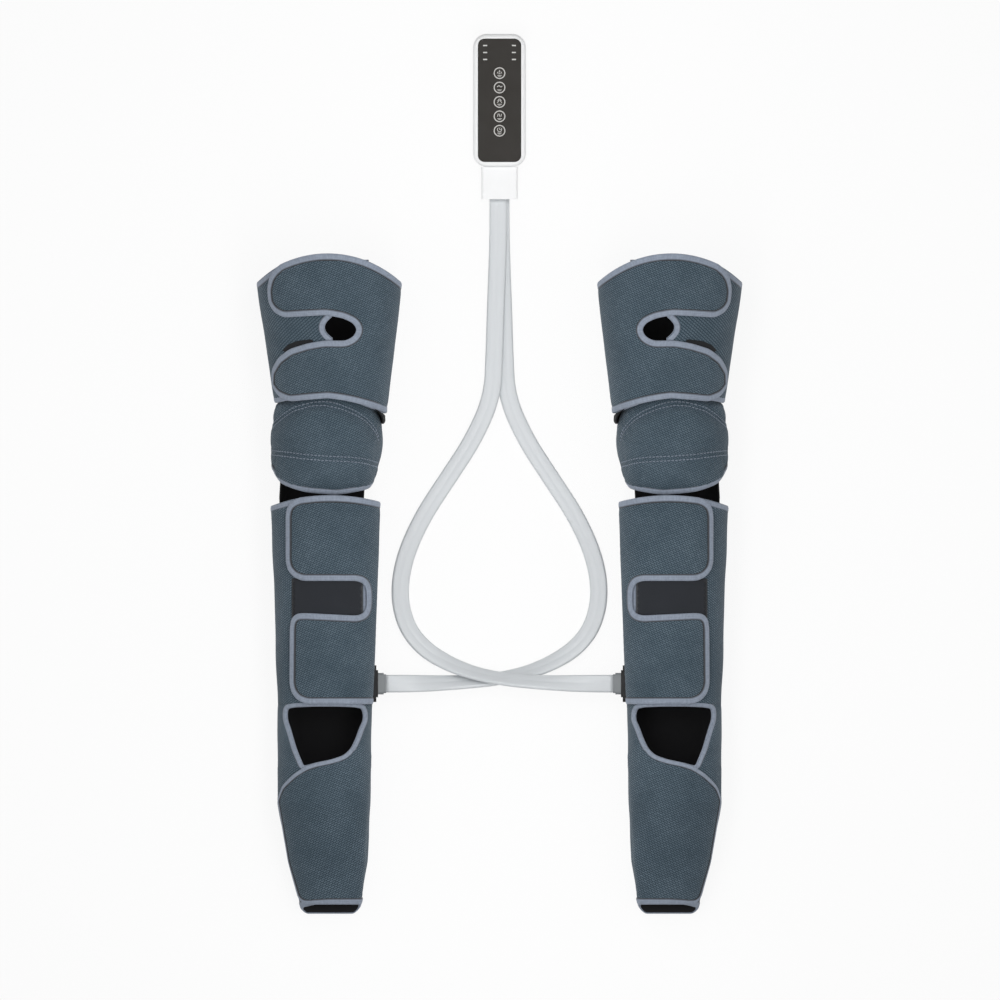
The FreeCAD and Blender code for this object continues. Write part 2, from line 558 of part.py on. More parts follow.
def socket_pieces():
    """Air socket sewn into the inner side of the calf, and the hose plug pushed onto it."""
    face = LEG_AXIS - SOCKET_FACE_X
    plate_x = face - SOCKET_STEP - SOCKET_DEPTH
    root = plate_x - OVERRUN
    plate = bar(SOCKET_LENGTH, SOCKET_HEIGHT, OVERRUN + SOCKET_DEPTH, root, SOCKET_Y, SOCKET_Z,
                SOCKET_HEIGHT * SOCKET_CORNER_SHARE)
    step = bar(SOCKET_STEP_LENGTH, SOCKET_STEP_HEIGHT, SOCKET_STEP, face - SOCKET_STEP, SOCKET_Y, SOCKET_Z,
               SOCKET_STEP_HEIGHT * SOCKET_CORNER_SHARE)
    calf = tube(stretched(CALF_RUN), -TOUCH)
    plug = bar(PLUG_LENGTH, PLUG_HEIGHT, PLUG_DEPTH, face, SOCKET_Y, SOCKET_Z,
               PLUG_HEIGHT * SOCKET_CORNER_SHARE)
    lip = bar(PLUG_LIP_LENGTH, PLUG_LIP_HEIGHT, PLUG_LIP, face + PLUG_DEPTH, SOCKET_Y, SOCKET_Z,
              PLUG_LIP_HEIGHT * SOCKET_CORNER_SHARE)
    return {"air_sockets": plate.fuse(step).cut(calf).removeSplitter(),
            "hose_plugs": plug.fuse(lip).removeSplitter()}


def hose_route(over):
    """Corner points of the hose that leaves on the left; over tells the upper one from the lower."""
    reach = BLOCK_LOW_Y - SOCKET_Y
    start_x = HOSE_LEVEL_SHARES["start_across"] * LEG_AXIS
    start_z = BLOCK_MID_Z + (HOSE_STACK if over else -HOSE_STACK)
    points = [V(start_x, BLOCK_LOW_Y, start_z),
              V(start_x, SOCKET_Y + HOSE_LEVEL_SHARES["start_along"] * reach, start_z)]
    for across, along, rise_over, rise_under in HOSE_ROUTE_SHARES:
        rise = rise_over if over else rise_under
        points.append(V(across * LEG_AXIS, SOCKET_Y + along * reach, HOSE_LEVEL + rise * (SOCKET_Z - HOSE_LEVEL)))
    points.append(V(HOSE_LEVEL_SHARES["end_across"] * LEG_AXIS, SOCKET_Y, SOCKET_Z))
    points.append(V(HOSE_END_X, SOCKET_Y, SOCKET_Z))
    return points


def hose(over):
    """Flat hose swept along straight runs joined by tangent arcs."""
    points = hose_route(over)
    edges = []
    radii = []
    last = points[0]
    for a, b, c in zip(points, points[1:], points[2:]):
        back, onward = a - b, c - b
        shorter = min(back.Length, onward.Length)
        opening = back.getAngle(onward)
        cut = ARC_SHARE * shorter
        radius = cut * math.tan(opening / 2)
        radii.append(radius)
        back.normalize()
        onward.normalize()
        middle = (back + onward).normalize()
        bulge = radius / math.sin(opening / 2) - radius
        start, end = b + back * cut, b + onward * cut
        edges.append(Part.LineSegment(last, start).toShape())
        edges.append(Part.Arc(start, b + middle * bulge, end).toShape())
        last = end
    edges.append(Part.LineSegment(last, points[-1]).toShape())
    path = Part.Wire(edges)
    flat = (HOSE_WIDTH - HOSE_THICKNESS) / 2
    half = HOSE_THICKNESS / 2

    def at(across, up):
        return points[0] + V(across, 0, up)

    profile = Part.Wire([e.toShape() for e in (
        Part.LineSegment(at(-flat, -half), at(flat, -half)),
        Part.Arc(at(flat, -half), at(flat + half, 0), at(flat, half)),
        Part.LineSegment(at(flat, half), at(-flat, half)),
        Part.Arc(at(-flat, half), at(-flat - half, 0), at(-flat, -half)))])
    sweep = Part.BRepOffsetAPI.MakePipeShell(path)
    sweep.setBiNormalMode(UP)
    sweep.add(profile)
    sweep.build()
    sweep.makeSolid()
    shape = sweep.shape()
    print("hose radii", [round(r) for r in radii], "length", round(path.Length),
          "volume share", round(shape.Volume / (Part.Face(profile).Area * path.Length), 3))
    return shape


def pill_box(width, length, corner, low, high, edge=0.0):
    """Upright box with round corners about the middle of the hand control, its flat edges eased."""
    middle_y = (HANDSET_TOP_Y + HANDSET_LOW_Y) / 2
    x, y = width / 2, length / 2
    points = [V(-x, middle_y - y, 0), V(x, middle_y - y, 0), V(x, middle_y + y, 0), V(-x, middle_y + y, 0)]
    block = column(rounded_face(points, [corner] * len(points)), low, high)
    if edge > 0:
        rims = [e for e in block.Edges if abs(e.BoundBox.ZMax - e.BoundBox.ZMin) < TOUCH]
        block = block.makeFillet(edge, rims)
    return block


def post(diameter, x, y, low, high):
    """Upright cylinder."""
    return Part.makeCylinder(diameter / 2, high - low, V(x, y, low), UP)


def screw_places():
    """Where the four housing screws stand."""
    places = []
    for side in (-1, 1):
        places.append((side * BOSS_TOP_FROM_AXIS, HANDSET_TOP_Y - BOSS_TOP_FROM_END))
        places.append((side * BOSS_LOW_FROM_AXIS, HANDSET_LOW_Y + BOSS_LOW_FROM_END))
    return places


def button_places():
    """Middle of each button along the hand control, from the top one down."""
    return [HANDSET_TOP_Y - BUTTON_FIRST - i * BUTTON_PITCH for i in range(BUTTON_COUNT)]


def indicator_boxes(grow, low, high):
    """The small light bars beside the top of the panel."""
    boxes = []
    for side in (-1, 1):
        for row in range(INDICATOR_ROWS):
            y = HANDSET_TOP_Y - INDICATOR_FIRST - row * INDICATOR_PITCH
            width, length = INDICATOR_LENGTH + 2 * grow, INDICATOR_WIDTH + 2 * grow
            corner = V(side * INDICATOR_FROM_AXIS - width / 2, y - length / 2, low)
            boxes.append(Part.makeBox(width, length, high - low, corner))
    return boxes


def end_box(width, y_low, y_high, z_mid, height):
    """Box across the axis of the hand control."""
    return Part.makeBox(width, y_high - y_low, height, V(-width / 2, y_low, z_mid - height / 2))


def shell_pieces():
    """Front and rear shells of the hand control, the control panel, the lights and the screws."""
    floor_top = HANDSET_THICKNESS - PANEL_RECESS
    floor_low = floor_top - HANDSET_WALL
    inner_width, inner_length = HANDSET_WIDTH - 2 * HANDSET_WALL, HANDSET_LENGTH - 2 * HANDSET_WALL
    inner_corner = HANDSET_CORNER - HANDSET_WALL
    outside = pill_box(HANDSET_WIDTH, HANDSET_LENGTH, HANDSET_CORNER, 0, HANDSET_THICKNESS, HANDSET_EDGE)
    inside = pill_box(inner_width, inner_length, inner_corner, HANDSET_WALL, floor_low,
                      HANDSET_EDGE - HANDSET_WALL)
    body = outside.cut(inside)
    recess = pill_box(PANEL_WIDTH + 2 * PANEL_GAP, PANEL_LENGTH + 2 * PANEL_GAP, PANEL_CORNER + PANEL_GAP,
                      floor_top, HANDSET_THICKNESS + OVERRUN)
    tongue = end_box(TONGUE_WIDTH + 2 * TONGUE_GAP, HANDSET_LOW_Y - OVERRUN, HANDSET_LOW_Y + OVERRUN,
                     BLOCK_MID_Z, TONGUE_THICKNESS + 2 * TONGUE_GAP)
    port = end_box(PORT_WIDTH + 2 * SCREW_GAP, HANDSET_TOP_Y - OVERRUN, HANDSET_TOP_Y + OVERRUN,
                   PORT_Z, PORT_HEIGHT + 2 * SCREW_GAP)
    body = body.cut(recess).cut(tongue).cut(port)
    wide = HANDSET_LENGTH
    low_half = Part.makeBox(wide, 2 * wide, HANDSET_SPLIT, V(-wide / 2, HANDSET_LOW_Y - OVERRUN, 0))
    rear = body.common(low_half)
    front = body.cut(low_half)
    head_top = SCREW_SINK + SCREW_HEAD_HEIGHT
    tip = floor_low - HANDSET_WALL
    screws = []
    for x, y in screw_places():
        rear = rear.fuse(post(BOSS_DIAMETER, x, y, HANDSET_WALL, HANDSET_SPLIT))
        front = front.fuse(post(BOSS_DIAMETER, x, y, HANDSET_SPLIT, floor_low))
        screws.append(post(SCREW_HEAD, x, y, SCREW_SINK, head_top).fuse(
            post(SCREW_DIAMETER, x, y, head_top, tip)).removeSplitter())
    for x, y in board_posts():
        rear = rear.fuse(post(POST_DIAMETER, x, y, HANDSET_WALL, BOARD_TOP - BOARD_THICKNESS))
    for x, y in screw_places():
        shank = post(SCREW_DIAMETER + 2 * SCREW_GAP, x, y, 0, tip + SCREW_GAP)
        rear = rear.cut(shank).cut(post(SCREW_HEAD + 2 * SCREW_GAP, x, y, 0, head_top))
        front = front.cut(shank)
    panel_top = floor_top + PANEL_THICKNESS
    panel = pill_box(PANEL_WIDTH, PANEL_LENGTH, PANEL_CORNER, floor_top, panel_top)
    for y in button_places():
        hole = post(BUTTON_DIAMETER + 2 * BUTTON_GAP, 0, y, HANDSET_SPLIT, HANDSET_THICKNESS)
        front = front.cut(hole)
        panel = panel.cut(hole)
    for window in indicator_boxes(0, floor_top, panel_top):
        panel = panel.cut(window)
    return {"front_shell": front.removeSplitter(), "rear_shell": rear.removeSplitter(), "control_panel": panel,
            "indicator_lights": Part.makeCompound(indicator_boxes(0, floor_top, panel_top)),
            "housing_screws": Part.makeCompound(screws)}


def board_posts():
    """Where the posts under the circuit board stand."""
    top = HANDSET_TOP_Y - BOARD_FROM_TOP - POST_FROM_END
    low = HANDSET_TOP_Y - BOARD_FROM_TOP - BOARD_LENGTH + POST_FROM_END
    x = BOARD_WIDTH / 2 - POST_FROM_SIDE
    return [(side * x, y) for side in (-1, 1) for y in (top, low)]


def button_pieces():
    """Five round push buttons with a dished face and a flange that keeps them in the shell."""
    flange_low = FLANGE_LOW
    flange_top = flange_low + BUTTON_FLANGE_HEIGHT
    top = HANDSET_THICKNESS + BUTTON_PROUD
    radius = BUTTON_DIAMETER / 2
    dish = (radius ** 2 + BUTTON_DISH ** 2) / (2 * BUTTON_DISH)
    pieces = {}
    for i, y in enumerate(button_places()):
        cap = post(BUTTON_DIAMETER, 0, y, flange_low, top)
        cap = cap.cut(Part.makeSphere(dish, V(0, y, top - BUTTON_DISH / 2 + dish)))
        flange = post(BUTTON_DIAMETER + 2 * BUTTON_FLANGE, 0, y, flange_low, flange_top)
        pieces["button_%d" % (i + 1)] = cap.fuse(flange).removeSplitter()
    return pieces


def inside_pieces():
    """Board, switches, pumps, valves, battery and charging port inside the hand control."""
    board_low = BOARD_TOP - BOARD_THICKNESS
    board_y = HANDSET_TOP_Y - BOARD_FROM_TOP - BOARD_LENGTH
    board = Part.makeBox(BOARD_WIDTH, BOARD_LENGTH, BOARD_THICKNESS, V(-BOARD_WIDTH / 2, board_y, board_low))
    for x, y in screw_places():
        board = board.cut(post(BOSS_DIAMETER + 2 * BOARD_BOSS_GAP, x, y, board_low, BOARD_TOP))
    switches = []
    for y in button_places():
        corner = V(-SWITCH_SIZE / 2, y - SWITCH_SIZE / 2, BOARD_TOP)
        body = Part.makeBox(SWITCH_SIZE, SWITCH_SIZE, SWITCH_HEIGHT, corner)
        top = BOARD_TOP + SWITCH_HEIGHT
        switches.append(body.fuse(post(SWITCH_PLUNGER, 0, y, top, top + SWITCH_PLUNGER_HEIGHT)))
    along = V(0, 1, 0)
    pumps = []
    for side in (-1, 1):
        x, z = side * PUMP_SPACING / 2, HANDSET_WALL + PUMP_DIAMETER / 2
        y = HANDSET_LOW_Y + PUMP_FROM_END
        body = Part.makeCylinder(PUMP_DIAMETER / 2, PUMP_LENGTH, V(x, y, z), along)
        head = Part.makeCylinder(PUMP_HEAD_DIAMETER / 2, PUMP_HEAD_LENGTH, V(x, y + PUMP_LENGTH, z), along)
        spout_y = y + PUMP_LENGTH + PUMP_HEAD_LENGTH
        spout = Part.makeCylinder(PUMP_SPOUT_DIAMETER / 2, PUMP_SPOUT_LENGTH, V(x, spout_y, z), along)
        pumps.append(body.fuse([head, spout]).removeSplitter())
    valves = []
    for i in range(VALVE_COUNT):
        x = (i - (VALVE_COUNT - 1) / 2) * VALVE_SPACING
        y = HANDSET_LOW_Y + VALVE_FROM_END
        body = Part.makeBox(VALVE_WIDTH, VALVE_LENGTH - VALVE_SPOUT_LENGTH, VALVE_HEIGHT,
                            V(x - VALVE_WIDTH / 2, y, HANDSET_WALL))
        spout = Part.makeCylinder(VALVE_SPOUT_DIAMETER / 2, VALVE_SPOUT_LENGTH,
                                  V(x, y + VALVE_LENGTH - VALVE_SPOUT_LENGTH, HANDSET_WALL + VALVE_HEIGHT / 2), along)
        valves.append(body.fuse(spout).removeSplitter())
    pack_y = HANDSET_TOP_Y - CELL_PACK_FROM_TOP - CELL_PACK_LENGTH
    pack = Part.makeBox(CELL_PACK_WIDTH, CELL_PACK_LENGTH, CELL_PACK_HEIGHT,
                        V(-CELL_PACK_WIDTH / 2, pack_y, HANDSET_WALL))
    upright = [e for e in pack.Edges if abs(e.tangentAt(e.FirstParameter).z) > 0.5]
    pack = pack.makeFillet(CELL_PACK_CORNER, upright)
    port = end_box(PORT_WIDTH, HANDSET_TOP_Y - TOUCH - PORT_DEPTH, HANDSET_TOP_Y - TOUCH, PORT_Z, PORT_HEIGHT)
    slot = end_box(PORT_SLOT_WIDTH, HANDSET_TOP_Y - TOUCH - PORT_SLOT_DEPTH, HANDSET_TOP_Y, PORT_Z,
                   PORT_SLOT_HEIGHT)
    return {"circuit_board": board, "tact_switches": Part.makeCompound(switches),
            "air_pumps": Part.makeCompound(pumps), "air_valves": Part.makeCompound(valves),
            "battery_pack": pack, "charging_port": port.cut(slot)}


def block_piece():
    """Hose block under the hand control, with the tongue that plugs into it."""
    block = end_box(BLOCK_WIDTH, BLOCK_LOW_Y, HANDSET_LOW_Y - TOUCH, BLOCK_MID_Z, BLOCK_THICKNESS)
    long_edges = [e for e in block.Edges if abs(e.tangentAt(e.FirstParameter).y) > 0.5]
    block = block.makeFillet(BLOCK_CORNER, long_edges)
    tongue = end_box(TONGUE_WIDTH, HANDSET_LOW_Y - BLOCK_CORNER, HANDSET_LOW_Y + TONGUE_LENGTH, BLOCK_MID_Z,
                     TONGUE_THICKNESS)
    return {"hose_manifold": block.fuse(tongue).removeSplitter()}


def flipped(shape):
    """The same piece on the other leg."""
    return shape.mirror(V(0, 0, 0), V(1, 0, 0))


def on_left_leg(shape):
    """The piece moved from the leg axis to the left leg."""
    moved = shape.copy()
    moved.translate(V(-LEG_AXIS, 0, 0))
    return moved


PAIRED = ("air_sockets", "hose_plugs", "calf_loop_panel")

nodes = {}
leg = {}
for made in (thigh_pieces(), knee_pieces(), calf_pieces(), ankle_piece(), foot_pieces(), socket_pieces()):
    leg.update(made)
for name, shape in leg.items():
    left = on_left_leg(shape)
    if name in PAIRED:
        nodes[name.rstrip("s") + "s"] = Part.makeCompound([left, flipped(left)])
    else:
        nodes[name + "_left"] = left
        nodes[name + "_right"] = flipped(left)
nodes["hose_left"] = hose(True)
nodes["hose_right"] = flipped(hose(False))
for made in (shell_pieces(), button_pieces(), inside_pieces(), block_piece()):
    nodes.update(made)

os.makedirs("parts", exist_ok=True)
for name, shape in nodes.items():
    shape.exportStep(os.path.join("parts", name + ".step"))
    print(name, shape.isValid(), len(shape.Solids), round(shape.Volume))
print("nodes", len(nodes))
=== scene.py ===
"""Dressed model of an air compression leg massager: sewn leg wraps, flat hoses and a hand control."""

import math

import bmesh
import bpy
import numpy as np
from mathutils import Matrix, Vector, geometry, noise


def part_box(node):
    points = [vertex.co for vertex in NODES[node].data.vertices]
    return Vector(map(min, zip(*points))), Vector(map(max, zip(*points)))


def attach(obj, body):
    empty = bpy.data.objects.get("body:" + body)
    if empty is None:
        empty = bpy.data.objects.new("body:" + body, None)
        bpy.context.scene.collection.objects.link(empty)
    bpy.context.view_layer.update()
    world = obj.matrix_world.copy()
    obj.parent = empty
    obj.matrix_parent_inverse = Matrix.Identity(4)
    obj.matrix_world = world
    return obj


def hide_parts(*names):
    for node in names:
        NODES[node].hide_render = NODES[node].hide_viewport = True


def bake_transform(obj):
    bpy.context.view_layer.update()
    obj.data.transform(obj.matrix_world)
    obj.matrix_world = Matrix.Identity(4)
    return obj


bl_info = {
    "name": "Leg Massager Dressing",
    "version": (1, 0, 0),
    "blender": (4, 5, 0),
    "location": "View3D > Sidebar > Massager",
    "description": "Sews the leg wraps, lays the hoses and finishes the hand control",
    "category": "Object",
}

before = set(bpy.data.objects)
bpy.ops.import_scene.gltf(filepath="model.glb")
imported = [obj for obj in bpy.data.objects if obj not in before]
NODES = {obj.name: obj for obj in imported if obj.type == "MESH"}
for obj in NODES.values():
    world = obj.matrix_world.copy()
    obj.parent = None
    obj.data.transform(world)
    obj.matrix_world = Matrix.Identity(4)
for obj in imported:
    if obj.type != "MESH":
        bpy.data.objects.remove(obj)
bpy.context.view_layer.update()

MM = 0.001
LEG_AXIS = 217.0
PLAN_UNIT = 1.25
PLAN_AXIS = (326.0, 473.5)
SIDES = (("left", -1), ("right", 1))
# How far the strap behind the knee reaches under the calf and thigh wraps
STRAP_REACH = 26.0

# Cross-sections of the leg in millimetres: place along, width, height and sideways shift
TOE_Y, ANKLE_Y, CALF_Y, CALF_TOP_Y = -549.5, -367.0, -288.2, -29.5
KNEE_Y, KNEE_TOP_Y, HEM_Y, THIGH_Y = -25.7, 97.9, 80.5, 274.5
RUNS = {
    "foot": [(TOE_Y, 72, 32, 6.0), (-485.6, 98, 54, 3.0), (-412.6, 116, 78, -2.5),
             (ANKLE_Y, 117, 84, -2.0)],
    "ankle": [(ANKLE_Y, 117, 84, -2.0), (CALF_Y, 118, 86, -1.0)],
    "calf": [(CALF_Y, 118, 86, -1.0), (CALF_TOP_Y, 137, 100, -1.0)],
    "thigh": [(HEM_Y, 137, 100, 5.5), (THIGH_Y, 190, 128, 3.0)],
    "knee": [(KNEE_Y - 4, 112, 91, -2.0), (KNEE_Y + 14, 123, 98, -2.0), (KNEE_Y + 31, 131.5, 102, -1.7),
             (KNEE_Y + 66, 135.5, 104, 1.0), (KNEE_Y + 88, 133.5, 101.5, 1.0),
             (HEM_Y - 3, 128.5, 97.5, 0.0), (HEM_Y + 4, 127, 96, 0.6), (HEM_Y + 10, 123, 94, 4.4),
             (KNEE_TOP_Y, 122, 93, 5.2)],
    "strap": [(CALF_TOP_Y - STRAP_REACH, 135, 98.6, -1.0), (CALF_TOP_Y, 137, 100, -1.0),
              (HEM_Y, 137, 100, 5.5), (HEM_Y + STRAP_REACH, 144, 104, 5.2)],
}
SHOULDER_SHARE = 0.5
BACK_CORNER_SHARE = 0.3
CUFF_WALL = 8.2


def plan(points):
    """Outline points of the left leg in plan units, as millimetres across from the leg axis and along."""
    pts = np.array(points, float)
    return np.stack([(pts[:, 0] - PLAN_AXIS[0]) * PLAN_UNIT, (PLAN_AXIS[1] - pts[:, 1]) * PLAN_UNIT], 1)


def section(run, y):
    """Sizes of the cross-section at y: half width, shoulder and corner radii, centres and arc lengths."""
    rows = np.array(RUNS[run], float)
    w, h, shift = (np.interp(y, rows[:, 0], rows[:, i]) for i in (1, 2, 3))
    rt, rb, half = SHOULDER_SHARE * h, BACK_CORNER_SHARE * h, w / 2
    cx = half - rt
    cz = h - rt - cx * (2 - math.sqrt(3))
    crown = rt + 2 * cx
    arcs = [crown * math.pi / 6, rt * math.pi / 3, cz - rb, rb * math.pi / 2, half - rb]
    return {"shift": shift, "rt": rt, "rb": rb, "half": half, "cx": cx, "cz": cz, "crown": crown,
            "ends": np.cumsum(arcs, axis=0)}


def around(run, s, y, off):
    """Point at arc length s from the crown, off the fabric's outside, as positions and normals."""
    s, y, off = np.broadcast_arrays(np.asarray(s, float), np.asarray(y, float), np.asarray(off, float))
    c = section(run, y)
    e = c["ends"]
    s = (s + e[4]) % (2 * e[4]) - e[4]
    side, a = np.where(s < 0, -1.0, 1.0), np.abs(s)
    phi = np.where(a < e[0], a / c["crown"], math.pi / 6 + (a - e[0]) / c["rt"])
    psi = np.clip((a - e[2]) / c["rb"], 0, math.pi / 2)
    on_crown, on_shoulder, on_side, on_corner = a < e[0], a < e[1], a < e[2], a < e[3]
    cases = [on_crown, on_shoulder, on_side, on_corner]
    u = np.select(cases, [c["crown"] * np.sin(phi), c["cx"] + c["rt"] * np.sin(phi), c["half"],
                          c["half"] - c["rb"] + c["rb"] * np.cos(psi)], c["half"] - c["rb"] - (a - e[3]))
    low = c["cz"] - c["cx"] * math.sqrt(3)
    z = np.select(cases, [low + c["crown"] * np.cos(phi), c["cz"] + c["rt"] * np.cos(phi),
                          c["cz"] - (a - e[1]), c["rb"] - c["rb"] * np.sin(psi)], 0.0)
    nu = np.select(cases, [np.sin(phi), np.sin(phi), 1.0, np.cos(psi)], 0.0)
    nz = np.select(cases, [np.cos(phi), np.cos(phi), 0.0, -np.sin(psi)], -1.0)
    pos = np.stack([c["shift"] + side * (u + off * nu), y, z + off * nz], -1)
    return pos, np.stack([side * nu, np.zeros_like(nu), nz], -1)


def girth(run, y):
    """Arc length all round the leg at y."""
    return 2 * section(run, y)["ends"][4]


def arc_at(run, u, y, off=0.0):
    """Arc length from the crown of the upper point that lies u across in plan."""
    c = section(run, y)
    du = np.asarray(u, float) - c["shift"]
    a = np.abs(du)
    crown = c["crown"] + off
    on_crown = a <= crown / 2
    phi_c = np.arcsin(np.clip(a / crown, 0, 1))
    phi_s = np.arcsin(np.clip((a - c["cx"]) / (c["rt"] + off), 0, 1))
    s = np.where(on_crown, c["crown"] * phi_c, c["ends"][0] + c["rt"] * (phi_s - math.pi / 6))
    return np.sign(du) * s


def on_leg(run, line, off=0.0):
    """Plan points as arc lengths and places along."""
    return np.stack([arc_at(run, line[:, 0], line[:, 1], off), line[:, 1]], 1)


def run_lengths(line):
    """Length along a line at each of its points."""
    return np.concatenate([[0], np.cumsum(np.linalg.norm(np.diff(line, axis=0), axis=1))])


def unit(rows):
    """Vectors in rows, each at length one."""
    return rows / np.linalg.norm(rows, axis=1)[:, None]


def circle_edge(a, b, c):
    """Height of the circle through three plan points, as a function of the place across."""
    (ax, ay), (bx, by), (cx, cy) = a, b, c
    aa, bb, cc = (x ** 2 + y ** 2 for x, y in (a, b, c))
    d = 2 * (ax * (by - cy) + bx * (cy - ay) + cx * (ay - by))
    ux = (aa * (by - cy) + bb * (cy - ay) + cc * (ay - by)) / d
    uy = (aa * (cx - bx) + bb * (ax - cx) + cc * (bx - ax)) / d
    r = math.hypot(ax - ux, ay - uy)
    up = 1.0 if by > uy else -1.0
    return lambda u, z=0.0: uy + up * np.sqrt(np.maximum(r * r - (np.asarray(u, float) - ux) ** 2, 0))


THIGH_TOP_EDGE = circle_edge((-87.5, 238.0), (3.0, 274.4), (93.8, 236.0))
THIGH_HEM_EDGE = circle_edge((-66.0, 88.5), (1.0, 95.0), (76.0, 78.5))
CALF_TOP_EDGE = circle_edge((-70.0, -41.0), (-2.0, -28.0), (70.0, -37.5))


def level(y):
    """An edge that runs straight across."""
    return lambda u, z=0.0: np.full_like(np.asarray(u, float), y)


def smooth(points, step):
    """Even points along a curve that passes smoothly through the given ones."""
    p = np.asarray(points, float)
    last = len(p) - 1
    out = []
    for i in range(last):
        a, b, c, d = p[max(i - 1, 0)], p[i], p[i + 1], p[min(i + 2, last)]
        count = max(2, int(np.linalg.norm(c - b) / step))
        for t in np.arange(count) / count:
            out.append(0.5 * (2 * b + (c - a) * t + (2 * a - 5 * b + 4 * c - d) * t * t
                              + (3 * b - a - 3 * c + d) * t ** 3))
    out.append(p[-1])
    return np.array(out)


# Height from which a drawn edge turns level down the sides, and the drop over which it does so
LEVEL_FROM, LEVEL_DROP = 58.0, 16.0


def drawn_edge(points):
    """Height of a curve drawn through plan points, which runs level down the sides of the leg."""
    line = smooth(points, 2.0)

    def edge(u, z):
        side = np.clip((LEVEL_FROM - z) / LEVEL_DROP, 0, 1)
        outer = np.where(u < 0, line[0, 1], line[-1, 1])
        return (1 - side) * np.interp(u, line[:, 0], line[:, 1]) + side * outer

    return edge


KNEE_LOW_EDGE = drawn_edge((
    (-67.5, 4.5), (-61.7, -5.9), (-53.9, -13.2), (-29.4, -21.6), (0.0, -25.0), (17.5, -25.4), (48.8, -20.0),
    (58.8, -15.5), (66.0, -11.0)))


class Cloth:
    """Points, faces, pattern coordinates and finish numbers of one sewn piece, in millimetres."""

    def __init__(self):
        self.points, self.faces, self.pattern, self.finish = [], [], [], []

    def add(self, points, faces, pattern, finish):
        start = len(self.points)
        self.points += [tuple(p) for p in points]
        self.pattern += [tuple(p) for p in pattern]
        self.faces += [tuple(start + i for i in f) for f in faces]
        self.finish += [finish] * len(faces)
        return start


# Size of the swells on wraps and on panels, and the grid steps in which a swell fades out at a rim
WRAP_SWELL, PANEL_SWELL, RIM_STEPS = 46.0, 40.0, 3.0
# What sets apart the swells of runs whose names differ in length
SWELL_APART = 3.1
# Share of a panel's thickness that is left at its rim, and the least thickness where it sinks in
RIM_SHARE, LEAST_THICK = 0.62, 0.8
# Spacing of the points of a panel, with the shares of it between rows and clear of the outline
PANEL_STEP, ROW_SHARE, CLEAR_SHARE = 5.0, 0.866, 0.55
# Rounds in which a grid, or a single edge, settles on the round of the leg
GRID_ROUNDS, EDGE_ROUNDS = 6, 8


def soft_swell(run, s, y, size, amount):
    """Slow uneven swell of filled cloth, the same on every run of the script."""
    flat_s, flat_y = np.ravel(s), np.ravel(y)
    apart = len(run) * SWELL_APART
    vals = [noise.noise(Vector((a / size, b / size, apart))) for a, b in zip(flat_s, flat_y)]
    return amount * np.array(vals).reshape(np.shape(s))


def middle_place(run):
    """Place along at the middle of a run's cross-sections."""
    return float(np.mean([r[0] for r in RUNS[run]]))


def wrap_grid(run, s_from, s_to, low_edge, high_edge, columns, rows, crowd=1.0):
    """Grid of arc lengths and places along for a sheet wrapped round the leg between two plan edges."""
    t = np.linspace(0, 1, columns)[:, None]
    v = np.linspace(0, 1, rows)[None, :] ** crowd
    y = np.full((columns, rows), middle_place(run))
    for _ in range(GRID_ROUNDS):
        s = s_from(y) + t * (s_to(y) - s_from(y))
        pos = around(run, s, y, 0.0)[0]
        u, z = pos[..., 0], pos[..., 2]
        y = low_edge(u, z) + v * (high_edge(u, z) - low_edge(u, z))
    s = s_from(y) + t * (s_to(y) - s_from(y))
    return s, y


def add_wrap(cloth, run, s, y, outside, inside, finishes, swell=0.0):
    """A closed sheet on a grid, with its outer and inner faces in two finishes."""
    columns, rows = s.shape
    inset = [np.minimum(np.arange(n), n - 1 - np.arange(n)) / RIM_STEPS for n in (columns, rows)]
    rim = np.minimum(inset[0][:, None], inset[1][None, :])
    puff = soft_swell(run, s, y, WRAP_SWELL, swell) * np.clip(rim, 0, 1)
    index = np.arange(columns * rows).reshape(columns, rows)
    quads = np.stack([index[:-1, :-1], index[1:, :-1], index[1:, 1:], index[:-1, 1:]], -1).reshape(-1, 4)
    pattern = np.stack([s, y], -1).reshape(-1, 2)
    top = around(run, s, y, outside + puff)[0].reshape(-1, 3)
    under = around(run, s, y, inside)[0].reshape(-1, 3)
    a = cloth.add(top, quads[:, ::-1], pattern, finishes[0])
    b = cloth.add(under, quads, pattern, finishes[1])
    border = np.concatenate([index[:, 0], index[-1, 1:], index[-2::-1, -1], index[0, -2:0:-1]])
    ring = [(a + i, a + j, b + j, b + i) for i, j in zip(border, np.roll(border, -1))]
    cloth.faces += ring
    cloth.finish += [finishes[0]] * len(ring)


